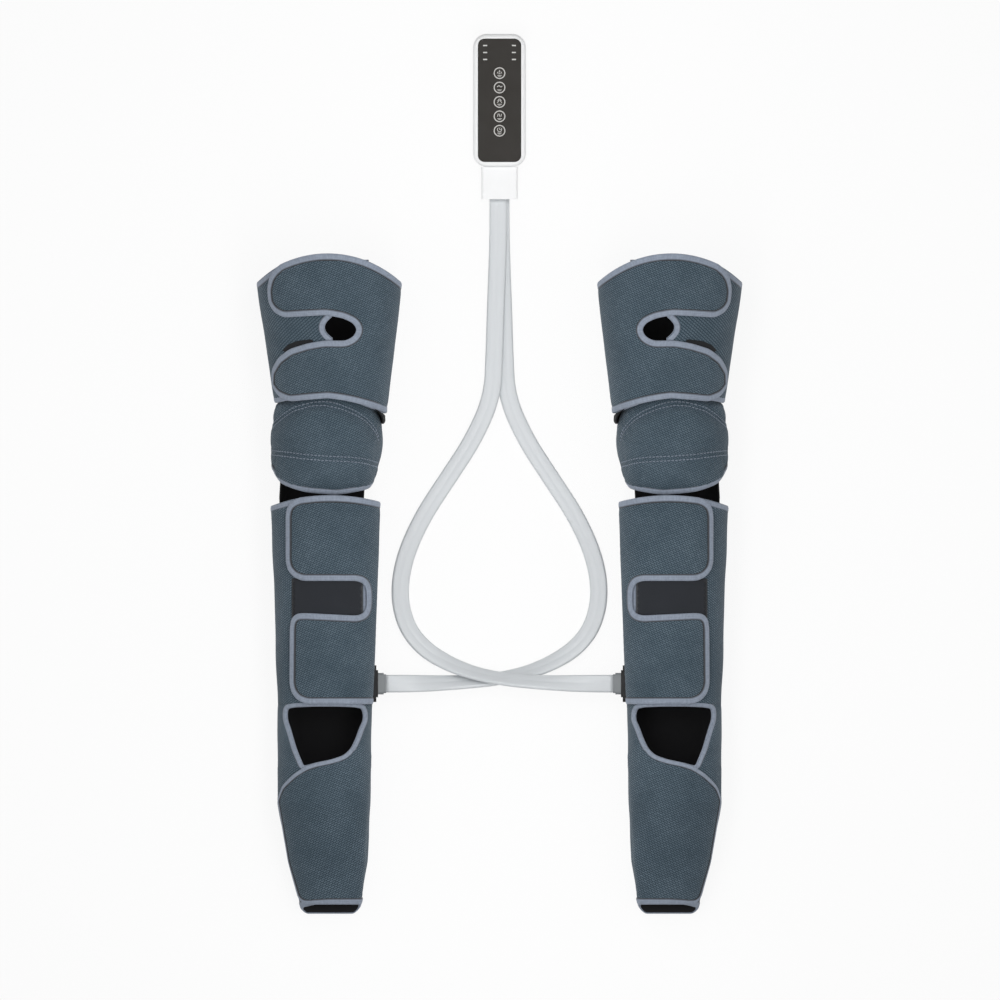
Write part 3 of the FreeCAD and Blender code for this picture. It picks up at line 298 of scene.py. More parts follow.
def add_panel(cloth, run, outline, outside, inside, finishes, edge_soft=5.0, puff=0.0, taper=None,
              hold=0.0):
    """A closed sheet cut to an outline of arc length and place along, rounded down towards its edge."""
    ring = [Vector(p) for p in outline]
    lo, hi = outline.min(0), outline.max(0)
    inner = []
    for row, b in enumerate(np.arange(lo[1] + PANEL_STEP / 2, hi[1], PANEL_STEP * ROW_SHARE)):
        for a in np.arange(lo[0] + (0 if row % 2 else PANEL_STEP / 2), hi[0], PANEL_STEP):
            inner.append((a, b))
    inner = np.array(inner)
    inside_mask, distance = outline_distance(inner, outline)
    inner = inner[inside_mask & (distance > PANEL_STEP * CLEAR_SHARE)]
    verts = ring + [Vector(p) for p in inner]
    n = len(ring)
    edges = [(i, (i + 1) % n) for i in range(n)]
    made, _, tris, *_ = geometry.delaunay_2d_cdt(verts, edges, [list(range(n))], 1, 1e-4)
    flat = np.array([tuple(p) for p in made])
    _, depth = outline_distance(flat, outline)
    rise = 1 - np.exp(-np.maximum(depth - hold, 0) / edge_soft)
    thick = outside - inside
    drop = np.zeros(len(flat)) if taper is None else taper(flat[:, 0], flat[:, 1])
    swell = soft_swell(run, flat[:, 0], flat[:, 1], PANEL_SWELL, puff) * rise
    upper = inside + thick * (RIM_SHARE + (1 - RIM_SHARE) * rise) + swell - drop
    top = around(run, flat[:, 0], flat[:, 1], upper)[0]
    under = around(run, flat[:, 0], flat[:, 1], np.minimum(inside, upper - LEAST_THICK))[0]
    tris = np.array(tris)
    cross = np.cross(flat[tris[:, 1]] - flat[tris[:, 0]], flat[tris[:, 2]] - flat[tris[:, 0]])
    tris[cross > 0] = tris[cross > 0][:, ::-1]
    a = cloth.add(top, tris, flat, finishes[0])
    b = cloth.add(under, tris[:, ::-1], flat, finishes[1])
    count = {}
    for tri in tris:
        for i in range(3):
            pair = (tri[i], tri[(i + 1) % 3])
            count[pair] = count.get(pair, 0) + 1
    rim = [p for p in count if (p[1], p[0]) not in count]
    cloth.faces += [(a + j, a + i, b + i, b + j) for i, j in rim]
    cloth.finish += [finishes[0]] * len(rim)


def outline_distance(points, outline):
    """For each point, whether it lies inside the closed outline, and how far it is from it."""
    p = points[:, None, :]
    a = outline[None, :, :]
    b = np.roll(outline, -1, 0)[None, :, :]
    d = b - a
    t = np.clip(((p - a) * d).sum(-1) / np.maximum((d * d).sum(-1), 1e-9), 0, 1)
    dist = np.sqrt((((a + t[..., None] * d) - p) ** 2).sum(-1)).min(1)
    ay, by = a[..., 1], b[..., 1]
    cross = ((ay > p[..., 1]) != (by > p[..., 1]))
    x = a[..., 0] + (p[..., 1] - ay) / np.where(by == ay, 1e-9, by - ay) * d[..., 0]
    inside = (cross & (p[..., 0] < x)).sum(1) % 2 == 1
    return inside, dist


# Pattern length for each radian round a tape, its sides, and how far it stands past the edge
TAPE_TURN, TAPE_SIDES, TAPE_PAST = 1.85, 14, 0.8
# Powers that flatten the tape's oval, across and through it
OVAL_ACROSS, OVAL_THROUGH = 0.75, 0.85


def add_binding(cloth, line, normals, width, thick, finish_number, closed=False, inward=1.0):
    """A folded tape sewn over an edge: a flat oval swept along the line, a little past the edge."""
    line = np.asarray(line, float)
    ahead = np.roll(line, -1, 0) - np.roll(line, 1, 0)
    if not closed:
        ahead[0], ahead[-1] = line[1] - line[0], line[-1] - line[-2]
    ahead = unit(ahead)
    across = unit(np.cross(ahead, normals) * inward)
    up = np.cross(across, ahead) * inward
    angles = np.linspace(0, 2 * math.pi, TAPE_SIDES, endpoint=False)
    ca = np.sign(np.cos(angles)) * np.abs(np.cos(angles)) ** OVAL_ACROSS
    sa = np.sign(np.sin(angles)) * np.abs(np.sin(angles)) ** OVAL_THROUGH
    n, m = len(line), len(angles)
    half = np.broadcast_to(np.asarray(width, float) / 2, (n,))[:, None, None]
    thick = np.broadcast_to(np.asarray(thick, float), (n,))[:, None, None]
    rings = (line[:, None, :] + across[:, None, :] * (half - TAPE_PAST + ca[None, :, None] * half)
             + up[:, None, :] * (sa[None, :, None] * thick / 2))
    pattern = np.stack([np.repeat(run_lengths(line), m), np.tile(angles * TAPE_TURN, n)], 1)
    index = np.arange(n * m).reshape(n, m)
    last = n if closed else n - 1
    faces = []
    for i in range(last):
        a, b = index[i], index[(i + 1) % n]
        for k in range(m):
            q = (a[k], b[k], b[(k + 1) % m], a[(k + 1) % m])
            faces.append(q if inward > 0 else q[::-1])
    if not closed:
        faces.append(tuple(index[0]) if inward > 0 else tuple(index[0][::-1]))
        faces.append(tuple(index[-1][::-1]) if inward > 0 else tuple(index[-1]))
    cloth.add(rings.reshape(-1, 3), faces, pattern, finish_number)


def fill_inputs(tree, made, inputs):
    """Sets or links the inputs of a shader node."""
    for name, value in inputs.items():
        if isinstance(value, bpy.types.NodeSocket):
            tree.links.new(value, made.inputs[name])
        else:
            made.inputs[name].default_value = value


def node(tree, kind, inputs=None, **settings):
    """A shader node with its settings and the values or links of its inputs."""
    made = tree.nodes.new(kind)
    for name, value in settings.items():
        setattr(made, name, value)
    fill_inputs(tree, made, inputs or {})
    return made


def new_finish(name):
    """An empty node material and its surface shader."""
    mat = bpy.data.materials.new(name)
    mat.use_nodes = True
    return mat, mat.node_tree, mat.node_tree.nodes["Principled BSDF"]


def mixed(tree, fac, a, b):
    """Colour between a and b."""
    mix = node(tree, "ShaderNodeMix", data_type="RGBA")
    spot = {socket.identifier: i for i, socket in enumerate(mix.inputs)}
    fill_inputs(tree, mix, {spot["Factor_Float"]: fac, spot["A_Color"]: a, spot["B_Color"]: b})
    return next(o for o in mix.outputs if o.identifier == "Result_Color")


def tone(colour, share):
    """A lighter or darker tone of a colour."""
    return tuple(min(1.0, c * share) for c in colour[:3]) + (1.0,)


def pattern_place(tree):
    """Pattern coordinates of a cloth or a hose."""
    return node(tree, "ShaderNodeUVMap", uv_map="Pattern").outputs[0]


def uneven(tree, place, scale, detail=2.0, rough=0.5):
    """A grey value that changes unevenly over a surface."""
    inputs = {"Vector": place, "Scale": scale, "Detail": detail, "Roughness": rough}
    return node(tree, "ShaderNodeTexNoise", inputs).outputs["Fac"]


def spread(tree, value, low, high, start=0.0, end=1.0):
    """A grey value whose span from start to end is spread from low to high."""
    inputs = {"Value": value, "From Min": start, "From Max": end, "To Min": low, "To Max": high}
    return node(tree, "ShaderNodeMapRange", inputs).outputs[0]


def raised(tree, height, strength, depth):
    """Surface direction of a relief whose height is a grey value."""
    inputs = {"Height": height, "Strength": strength, "Distance": depth}
    return node(tree, "ShaderNodeBump", inputs).outputs[0]


def thread_rows(tree, place, scale, dim, gap, gap_soft, row):
    """Grey rows of short threads, each row shifted by half a thread."""
    inputs = {"Vector": place, "Color1": (1, 1, 1, 1), "Color2": (dim, dim, dim, 1), "Mortar": (0, 0, 0, 1),
              "Scale": scale, "Mortar Size": gap, "Mortar Smooth": gap_soft, "Brick Width": 0.5,
              "Row Height": row}
    return node(tree, "ShaderNodeTexBrick", inputs, offset=0.5).outputs["Color"]


# Slant of the cloth's floats in degrees, and how far their place wavers in metres
FLOAT_SLANT, FLOAT_WAVER = -28, (0.0004, 0.0004, 0.0)
# Where the painted shadow line along a tape's inner edge fades out across its pattern, in metres
PAINTED_SEAM_SHADOW = (0.0016, 0.0026)
# Size of the grain of moulded pieces, in metres
MOULD_GRAIN = 0.0006


def woven_finish(name, colour, light, pitch):
    """Jacquard cloth: rows of short slanting floats over a dark ground, with a soft sheen and painted sheen
    patches.
    """
    mat, tree, shader = new_finish(name)
    uv = pattern_place(tree)
    turned = node(tree, "ShaderNodeMapping", {"Vector": uv, "Rotation": (0, 0, math.radians(FLOAT_SLANT))})
    wobble = node(tree, "ShaderNodeTexNoise", {"Vector": uv, "Scale": 260.0, "Detail": 2.0})
    nudged = node(tree, "ShaderNodeVectorMath", {0: wobble.outputs["Color"], 1: FLOAT_WAVER},
                  operation="MULTIPLY")
    place = node(tree, "ShaderNodeVectorMath", {0: turned.outputs[0], 1: nudged.outputs[0]},
                 operation="ADD").outputs[0]
    floats = thread_rows(tree, place, scale=0.5 / pitch, dim=0.72, gap=0.055, gap_soft=0.6, row=0.26)
    threads = node(tree, "ShaderNodeTexWave", {"Vector": place, "Scale": 1.3 / pitch, "Distortion": 0.4},
                   bands_direction="X")
    # Painted sheen: uneven patches where the weave fades to a lighter plain tone, as if the cloth caught
    # the light there
    patches = uneven(tree, uv, scale=14.0, detail=3.0, rough=0.6)
    painted_sheen = spread(tree, patches, low=0.0, high=0.5, start=0.35, end=0.7)
    base = mixed(tree, floats, tone(colour, 0.78), tone(light, 1.0))
    height = node(tree, "ShaderNodeMath", {0: floats, 1: threads.outputs["Fac"]}, operation="MULTIPLY")
    fill_inputs(tree, shader, {
        "Base Color": mixed(tree, painted_sheen, base, tone(colour, 1.05)),
        "Normal": raised(tree, height.outputs[0], strength=0.55, depth=0.0009),
        "Roughness": spread(tree, floats, 0.82, 0.55),
        "Sheen Weight": 0.2, "Sheen Roughness": 0.45, "Sheen Tint": (0.72, 0.8, 0.88, 1),
        "Specular IOR Level": 0.2})
    return mat


def tape_finish(name, colour):
    """Edge tape: fine cross ribs, a mottled tone and a painted shadow line along its inner edge, where it
    stands proud of the cloth.
    """
    mat, tree, shader = new_finish(name)
    uv = pattern_place(tree)
    ribs = thread_rows(tree, uv, scale=330.0, dim=0.7, gap=0.05, gap_soft=0.8, row=0.25)
    cloud = uneven(tree, uv, scale=380.0, detail=3.0, rough=0.6)
    flecks = spread(tree, cloud, low=0.0, high=1.0, start=0.36, end=0.64)
    across = node(tree, "ShaderNodeSeparateXYZ", {"Vector": uv}).outputs["Y"]
    # Painted shadow: the tape turns near black along its inner edge, standing for the shade where the
    # raised tape meets the cloth
    clear = spread(tree, across, 0.0, 1.0, *PAINTED_SEAM_SHADOW)
    base = mixed(tree, ribs, tone(colour, 0.72), tone(colour, 1.12))
    mottled = mixed(tree, flecks, tone(colour, 0.84), tone(colour, 1.26))
    fill_inputs(tree, shader, {
        "Base Color": mixed(tree, clear, tone(colour, 0.03), mixed(tree, 0.6, base, mottled)),
        "Normal": raised(tree, ribs, strength=0.4, depth=0.0005),
        "Roughness": spread(tree, cloud, 0.6, 0.85),
        "Sheen Weight": 0.3, "Sheen Tint": (0.85, 0.9, 1.0, 1)})
    return mat


def napped_finish(name, colour, grain, depth, sheen):
    """Brushed or looped cloth: a short uneven nap."""
    mat, tree, shader = new_finish(name)
    uv = pattern_place(tree)
    nap = uneven(tree, uv, scale=1.0 / grain, detail=4.0, rough=0.7)
    base = mixed(tree, nap, tone(colour, 0.6), tone(colour, 1.5))
    fill_inputs(tree, shader, {
        "Base Color": mixed(tree, uneven(tree, uv, 30.0), base, tone(colour, 0.8)),
        "Normal": raised(tree, nap, strength=0.7, depth=depth),
        "Roughness": spread(tree, nap, 0.75, 0.95),
        "Sheen Weight": sheen, "Specular IOR Level": 0.2})
    return mat


def moulded_finish(name, colour, rough, gloss=0.5, depth=0.00004, metal=0.0):
    """Moulded plastic or plain metal with a fine spark-eroded grain and faint handling marks."""
    mat, tree, shader = new_finish(name)
    place = node(tree, "ShaderNodeTexCoord").outputs["Object"]
    marks = uneven(tree, place, scale=55.0, detail=5.0, rough=0.65)
    fill_inputs(tree, shader, {
        "Base Color": mixed(tree, marks, tone(colour, 0.96), tone(colour, 1.03)),
        "Roughness": spread(tree, marks, rough * 0.85, min(1.0, rough * 1.2), 0.3, 0.7),
        "Normal": raised(tree, uneven(tree, place, 1.0 / MOULD_GRAIN), strength=0.3, depth=depth),
        "Metallic": metal, "Specular IOR Level": gloss})
    return mat


def hose_finish(name, colour):
    """Soft clear-grey hose plastic that lets a little light through."""
    mat, tree, shader = new_finish(name)
    uv = pattern_place(tree)
    bands = uneven(tree, uv, scale=22.0, detail=3.0)
    fill_inputs(tree, shader, {
        "Base Color": mixed(tree, bands, tone(colour, 0.97), tone(colour, 1.04)),
        "Roughness": spread(tree, bands, 0.3, 0.45),
        "Normal": raised(tree, uneven(tree, uv, scale=900.0, detail=1.0), strength=0.15, depth=0.0001),
        "Subsurface Weight": 0.25, "Subsurface Radius": (0.004, 0.004, 0.004), "Coat Weight": 0.15})
    return mat


FINISHES = {}


def finish(name):
    """The finish of that name, made once from the user's colours and sizes."""
    if name in FINISHES:
        return FINISHES[name]
    looks = bpy.context.scene.massager_fabric
    case = bpy.context.scene.massager_handset
    makers = {
        "jacquard": (woven_finish, looks.cloth, looks.cloth_light, looks.weave_pitch),
        "edge_tape": (tape_finish, looks.tape),
        "lining": (napped_finish, looks.lining, 0.0011, 0.0004, 0.05),
        "loop_pile": (napped_finish, looks.loop, 0.0009, 0.0007, 0.15),
        "hook_tape": (napped_finish, (0.014, 0.015, 0.017), 0.0007, 0.0008, 0.05),
        "hose": (hose_finish, bpy.context.scene.massager_hose.colour),
        "white_case": (moulded_finish, case.case, 0.38),
        "panel": (moulded_finish, case.panel, 0.5, 0.12, 0.00006),
        "button": (moulded_finish, tone(case.panel, 1.05), 0.55, 0.12),
        "print": (moulded_finish, case.print_colour, 0.55),
        "socket": (moulded_finish, (0.012, 0.0125, 0.0135), 0.55, 0.25),
        "plug": (moulded_finish, (0.2, 0.215, 0.225), 0.45),
        "light_bar": (moulded_finish, (0.55, 0.55, 0.53), 0.4),
        "board": (moulded_finish, (0.02, 0.12, 0.05), 0.5),
        "dark_part": (moulded_finish, (0.03, 0.03, 0.032), 0.5),
        "steel": (moulded_finish, (0.55, 0.55, 0.56), 0.32, 0.5, 0.00004, 1.0),
        "pale_part": (moulded_finish, (0.7, 0.7, 0.67), 0.5),
        "cell_wrap": (moulded_finish, (0.12, 0.22, 0.42), 0.45),
    }
    maker, *values = makers[name]
    FINISHES[name] = maker(name, *values)
    return FINISHES[name]


def mesh_piece(name, points, faces, pattern=None, face_finish=None, finishes=()):
    """An object at the origin whose mesh holds the points, in metres, with its pattern coordinates."""
    mesh = bpy.data.meshes.new(name)
    mesh.from_pydata([tuple(p) for p in points], [], [tuple(f) for f in faces])
    for f in finishes:
        mesh.materials.append(finish(f))
    if face_finish is not None:
        mesh.polygons.foreach_set("material_index", np.array(face_finish, np.int32))
    mesh.polygons.foreach_set("use_smooth", np.ones(len(mesh.polygons), bool))
    if pattern is not None:
        layer = mesh.uv_layers.new(name="Pattern")
        loops = np.zeros(len(mesh.loops), np.int32)
        mesh.loops.foreach_get("vertex_index", loops)
        layer.data.foreach_set("uv", np.asarray(pattern, np.float32)[loops].ravel())
    mesh.validate()
    obj = bpy.data.objects.new(name, mesh)
    bpy.context.scene.collection.objects.link(obj)
    return obj


def body_name(name, side):
    """The body of one leg, or the one that both legs share."""
    return name if name == "calves_and_hoses" else "%s_%s" % (name, side)


def sew(name, cloth, finishes, nodes, declare, body=None, bend=None):
    """The piece on both legs: it rides on a body, or where it would bend between two it is only fixed where
    it lies, and it stands for CAD nodes.
    """
    for side, sign in SIDES:
        pts = np.array(cloth.points)
        pts[:, 0] = -sign * (pts[:, 0] - LEG_AXIS)
        obj = mesh_piece("%s_%s" % (name, side), pts * MM, cloth.faces, np.array(cloth.pattern) * MM,
                         cloth.finish, finishes)
        outward(obj)
        if body:
            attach(obj, body_name(body, side))
        if bend:
            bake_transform(obj)
        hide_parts(*["%s_%s" % (n, side) for n in nodes])
        declare(obj)


# Route of the hoses: across and along, then height and lean of the upper hose and of the lower one.
# Lengths are in millimetres and leans in degrees, and the lower hose is turned over to the other side.
HOSE_ROUTE = np.array((
    (-1.5, 342.9, 16.2, 0, 9.8, 0), (-1.5, 299.9, 16.2, 0, 9.8, 0), (-3.0, 252.1, 12.6, 0, 6.2, 0),
    (-5.0, 200.0, 10.0, 0, 3.6, 0), (-6.5, 147.9, 9.9, 0, 3.3, 0), (-9.1, 95.8, 9.9, 0, 3.2, 0),
    (-31.9, 43.7, 6.0, 0, 3.2, 0), (-64.0, -5.3, 3.2, 0, 3.2, 0), (-95.9, -53.2, 3.2, 3, 3.2, 3),
    (-118.9, -104.0, 3.6, 6, 3.6, 6), (-126.1, -151.3, 3.8, 8, 3.8, 8), (-117.0, -191.2, 4.2, 10, 4.2, 10),
    (-95.0, -219.1, 5.4, 16, 5.4, 16), (-64.0, -237.9, 8.2, 32, 7.6, 32),
    (-31.9, -250.0, 11.5, 44, 8.8, 44), (3.9, -257.2, 21.0, 48, 9.4, 48), (44.9, -260.9, 29.0, 42, 9.4, 44),
    (77.0, -262.1, 28.6, 30, 14.0, 32), (109.6, -262.7, 28.0, 12, 28.0, 12),
    (141.8, -262.7, 28.0, 0, 28.0, 0)))
HOSE_OVER, HOSE_UNDER = HOSE_ROUTE[:, :4], HOSE_ROUTE[:, [0, 1, 4, 5]]
# Share of the hose's half thickness that is left in its groove and at its rounded sides
GROOVE_SHARE, ROUND_SHARE = 0.9, 0.95
# Pattern length from one point of the hose's outline to the next
HOSE_PATTERN = 1.6
# Steps of the outline over each channel, and its points round each side
CHANNEL_STEPS, SIDE_POINTS = 8, 9


def spline_points(name, route):
    """Even points of the smooth spline that has the route's points as its control points, in metres."""
    curve = bpy.data.curves.new(name, "CURVE")
    curve.dimensions = "3D"
    curve.resolution_u = 14
    spline = curve.splines.new("NURBS")
    spline.points.add(len(route) - 1)
    for point, (x, y, z) in zip(spline.points, route):
        point.co = (x * MM, y * MM, z * MM, 1.0)
    spline.order_u = 3
    spline.use_endpoint_u = True
    holder = bpy.data.objects.new(name, curve)
    bpy.context.scene.collection.objects.link(holder)
    bpy.context.view_layer.update()
    line = bpy.data.meshes.new_from_object(holder)
    points = np.array([v.co[:] for v in line.vertices])
    bpy.data.objects.remove(holder)
    bpy.data.curves.remove(curve)
    bpy.data.meshes.remove(line)
    return points


def hose_profile(width, thickness, lumens):
    """Outline of a flat hose whose face swells a little over each air channel, in millimetres."""
    half, edge = width / 2, thickness / 2
    flat = half - edge
    across = np.linspace(-flat, flat, CHANNEL_STEPS * lumens + 1)
    swell = np.abs(np.sin(lumens * math.pi * (across + flat) / (2 * flat)))
    crest = edge * (GROOVE_SHARE + (1 - GROOVE_SHARE) * swell)
    turn = np.linspace(-math.pi / 2, math.pi / 2, SIDE_POINTS)[1:-1]
    right = [(flat + edge * math.cos(a), -edge * math.sin(a) * ROUND_SHARE) for a in turn]
    left = [(-x, -z) for x, z in right]
    top = list(zip(across, crest))
    low = list(zip(across[::-1], -crest[::-1]))
    return np.array(top + right + low + left)


def lay_hose(name, route, flip, looks):
    """One flat hose along its spline, leaning as the route says, with a pattern that runs along it."""
    turn = -1.0 if flip else 1.0
    rows = route * (turn, 1, 1, 1)
    line = spline_points(name + "_line", rows[:, :3]) / MM
    run_on, marks = run_lengths(line), run_lengths(rows[:, :3])
    lean = np.radians(np.interp(run_on / run_on[-1], marks / marks[-1], rows[:, 3]))
    ahead = unit(np.gradient(line, axis=0))
    level_across = unit(np.cross(ahead, (0, 0, 1.0)))
    upright = np.cross(level_across, ahead)
    across = level_across * np.cos(lean)[:, None] + upright * (turn * np.sin(lean))[:, None]
    up = np.cross(across, ahead)
    profile = hose_profile(looks.width / MM, looks.thickness / MM, looks.channels)
    rings = line[:, None] + across[:, None] * profile[None, :, :1] + up[:, None] * profile[None, :, 1:]
    n, m = len(line), len(profile)
    index = np.arange(n * m).reshape(n, m)
    faces = [tuple(index[0]), tuple(index[-1][::-1])]
    for i in range(n - 1):
        for k in range(m):
            j = (k + 1) % m
            faces.append((index[i][k], index[i + 1][k], index[i + 1][j], index[i][j]))
    pattern = np.stack([np.repeat(run_on, m), np.tile(np.arange(m) * HOSE_PATTERN, n)], 1)
    obj = mesh_piece("flat_" + name, rings.reshape(-1, 3) * MM, faces, pattern * MM, None, ("hose",))
    outward(obj)
    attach(obj, "calves_and_hoses")
    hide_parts(name)


def outward(obj):
    """Turns every face of a closed piece outwards."""
    mesh = bmesh.new()
    mesh.from_mesh(obj.data)
    bmesh.ops.recalc_face_normals(mesh, faces=mesh.faces)
    mesh.to_mesh(obj.data)
    mesh.free()


def deselect():
    """Leaves nothing selected and no object in edit mode."""
    if bpy.context.object and bpy.context.object.mode != "OBJECT":
        bpy.ops.object.mode_set(mode="OBJECT")
    bpy.ops.object.select_all(action="DESELECT")


def colour_property(name, description, value):
    """A colour that the user may change."""
    return bpy.props.FloatVectorProperty(name=name, description=description, default=value, min=0, max=1,
                                         size=3, subtype="COLOR")


def length_property(name, description, value):
    """A length that the user may change."""
    return bpy.props.FloatProperty(name=name, description=description, default=value, min=0, unit="LENGTH",
                                   precision=4)


class FabricLooks(bpy.types.PropertyGroup):
    """Cloths, tapes and fill of the leg wraps."""

    cloth: colour_property("Cloth", "Ground colour of the outer cloth", (0.024, 0.043, 0.059))
    cloth_light: colour_property("Cloth floats", "Colour of the raised threads", (0.118, 0.164, 0.205))
    tape: colour_property("Edge tape", "Colour of the binding tape", (0.23, 0.268, 0.335))
    lining: colour_property("Lining", "Colour of the inner cloth", (0.006, 0.006, 0.007))
    loop: colour_property("Loop panel", "Colour of the loop pile", (0.02, 0.0225, 0.028))
    weave_pitch: length_property("Weave pitch", "Length of one raised thread", 0.0046)
    tape_width: length_property("Tape width", "Width of the binding tape that shows", 0.0096)
    swell: length_property("Swell", "How uneven the filled walls are", 0.0012)


class HoseLooks(bpy.types.PropertyGroup):
    """Size and colour of the flat hoses."""

    width: length_property("Width", "Width of the flat hose", 0.022)
    thickness: length_property("Thickness", "Thickness of the flat hose", 0.006)
    channels: bpy.props.IntProperty(name="Channels", description="Air channels side by side", default=2,
                                    min=1)
    colour: colour_property("Colour", "Colour of the hose plastic", (0.62, 0.645, 0.665))


class HandsetLooks(bpy.types.PropertyGroup):
    """Finishes of the hand control."""

    case: colour_property("Case", "Colour of the shells", (0.88, 0.885, 0.89))
    panel: colour_property("Panel", "Colour of the control panel", (0.034, 0.031, 0.028))
    print_colour: colour_property("Print", "Colour of the printed signs", (0.55, 0.54, 0.52))


class StageLooks(bpy.types.PropertyGroup):
    """Floor, lights and camera."""

    floor: colour_property("Floor", "Colour of the floor", (0.95, 0.95, 0.95))
    floor_clear: bpy.props.FloatProperty(
        name="Floor clear", description="How far the camera sees through the floor", default=0.9,
        min=0, max=1)
    lamp: bpy.props.FloatProperty(
        name="Lamp", description="Strength of the overhead soft light", default=9.0, min=0,
        subtype="POWER")
    view_width: length_property("View width", "Width that the camera takes in", 1.25)


class MASSAGER_OT_hoses(bpy.types.Operator):
    """Lay the two flat hoses from the hose block round to the legs."""

    bl_idname = "massager.hoses"
    bl_label = "Lay hoses"

    def execute(self, context):
        looks = context.scene.massager_hose
        lay_hose("hose_left", HOSE_OVER, False, looks)
        lay_hose("hose_right", HOSE_UNDER, True, looks)
        return {"FINISHED"}


CLOTHS = ("jacquard", "lining", "edge_tape")
# How far a seam pinches the padding, and by how much, with the drop of the cloth at a taped rim
PINCH_REACH, EDGE_PINCH, EDGE_DROP = 7.0, 3.6, 0.5
# Thickness of a lining with and without the gap over it, and what a tape adds to the edge that it covers
LINING_ROOM, LINING_THICK, TAPE_EXTRA = 2.0, 1.9, 1.2
# Under and upper side of a flap, off the outside of its wrap, and what its tape adds
FLAP_UNDER, FLAP_OVER, FLAP_TAPE_EXTRA = 1.6, 4.6, 1.9
# How far past its hinge a flap begins to sink, how far before its end it has sunk, and how far down from
# its upper edge it lies flush
SINK_START, SINK_STOP, FLUSH_REACH = 3.0, 2.0, 22.0
# Swell of a flap's cloth, and how far in from the cut its tape holds it down
FLAP_SWELL, FLAP_HOLD = 0.6, 7.0
# Upper and under side of a hook patch, and how softly its edge rounds down
HOOK_OVER, HOOK_UNDER, HOOK_EDGE = 1.5, 0.45, 1.5
# Direction in which a flap's cloth turns in at its hinge, and the reach before and after it of the bend
# limits, which are passed on but not used to bend the flap
HINGE_TURN, HINGE_BEFORE, HINGE_AFTER = (0.5, 0.0, -0.87), 8.0, 4.0
# Spacing of points along a cut, and along the sides of a straight cut, and the points on a flap's far end
CUT_STEP, BOX_STEP, FAR_POINTS = 2.5, 4.0, 60
# Points to each side over which a change in a tape's width is spread
WIDTH_REACH = 8
# Columns and rows of each cloth
GRIDS = {"thigh": (150, 90), "calf": (130, 70), "foot": (110, 60), "ankle": (110, 64), "knee": (130, 72),
         "knee_lining": (80, 40), "strap": (40, 70)}
# How far each flap runs on past its hinge, and how deep it sinks there
FLAP_ENDS = {"thigh": (40.0, 5.2), "calf": (26.0, 5.2), "foot": (20.0, 4.0)}
# Place across of the right edge of the thigh's slit, and of both edges at the calf and foot
THIGH_SLIT_RIGHT, CALF_SLIT, FOOT_SLIT = 46.0, (51.0, 57.0), (-6.0, 17.0)
# Lower and upper end of the ankle's cloth, where the wraps of foot and calf begin
ANKLE_LOW, ANKLE_HIGH = ANKLE_Y - 0.6, CALF_Y - 0.1
# Lower ends of the calf and foot flaps, and upper end of the foot flap
CALF_FLAP_LOW, FOOT_FLAP_LOW, FOOT_FLAP_HIGH = CALF_Y + 0.6, TOE_Y + 11.5, -342.5
# Hook patches of the thigh flap: limits across and along in millimetres, and a sliver in plan units
THIGH_HOOKS = (((-62.7, 208.5), (-14.3, 255.1)), ((-57.0, 103.8), (-14.3, 142.6)))
THIGH_SLIVER = ((283, 350.5), (288, 345), (297, 341), (313, 339.2), (314, 346), (300, 349.5), (289, 354))
# Hook patches of the calf flap: limits as shares of the calf's half width and length
CALF_HOOKS = (((-0.6, 0.67), (-0.05, 0.92)), ((-0.5, 0.07), (0, 0.36)))
# Outer cuts of the flaps, in plan units
THIGH_CUT = (
    (280, 264.8), (273.5, 270), (268.8, 277.5), (266.6, 289), (268, 303), (273.5, 312), (283, 317),
    (307, 315.5), (326, 314.5), (343, 317.5), (354, 322.5), (358.5, 329.5), (354.5, 337), (346, 341.3),
    (324, 341), (307, 344), (289, 349.5), (277.5, 358), (270.8, 370), (271, 386), (277.5, 396), (289, 401),
    (307, 399.2), (326, 397.7))
CALF_CUT = (
    (300, 498), (292.5, 500.8), (287, 506.5), (285.4, 515), (285.4, 562), (287.5, 570), (293.5, 576.8),
    (302, 580.3), (358, 580.3), (365, 583), (368.4, 590), (368.4, 607), (365.5, 613.5), (358, 616.2),
    (305, 613.6), (296, 614), (291, 618.5), (289.6, 627), (289.2, 684), (291.5, 693), (297, 699.8),
    (306, 703.4), (312, 703.6))
FOOT_CUT = (
    (353.6, 747.5), (349.5, 752.5), (343.5, 756.6), (332, 760.2), (316, 763.4), (305, 767), (293.2, 774.5),
    (281.4, 786), (276.8, 800), (280, 818), (287.6, 862), (297.6, 898), (303, 903.6), (312, 904.2))
# Hinge line of each flap: its start across, along and up in millimetres, and its lean and climb
HINGES = {
    "thigh": (70.22, 80.5, 67.68, 0.11263, 0.09397),
    "calf": (52.63, -283.03, 62.82, 0.03768, 0.03051),
    "foot": (38.85, -534.9, 26.69, 0.07382, 0.19282),
}


# Drop of the thigh's hem for each millimetre towards the inner side
HEM_SLOPE = 0.045
# Keyhole of the thigh flap: its middle and half length along, its depth and its left edge
KEYHOLE_Y, KEYHOLE_HALF, KEYHOLE_DEPTH, KEYHOLE_LEFT = 182.8, 13.5, 10.0, -2.3
# Thigh lining that hangs out: how far, from which place across, below which height, and the fade of both
LINING_HANG, HANG_ACROSS, HANG_TOP, HANG_FADE = 14.0, 35.0, 78.0, 20.0
# How far it flares out there, the rise of the flare, its fall at the edge and the height where it fades
FLARE_OUT, FLARE_EARLY, FLARE_RISE = 5.4, 2.0, 5.0
FLARE_HOLD, FLARE_FALL, FLARE_LOW, FLARE_LOW_FADE = 5.0, 9.1, 12.0, 16.0
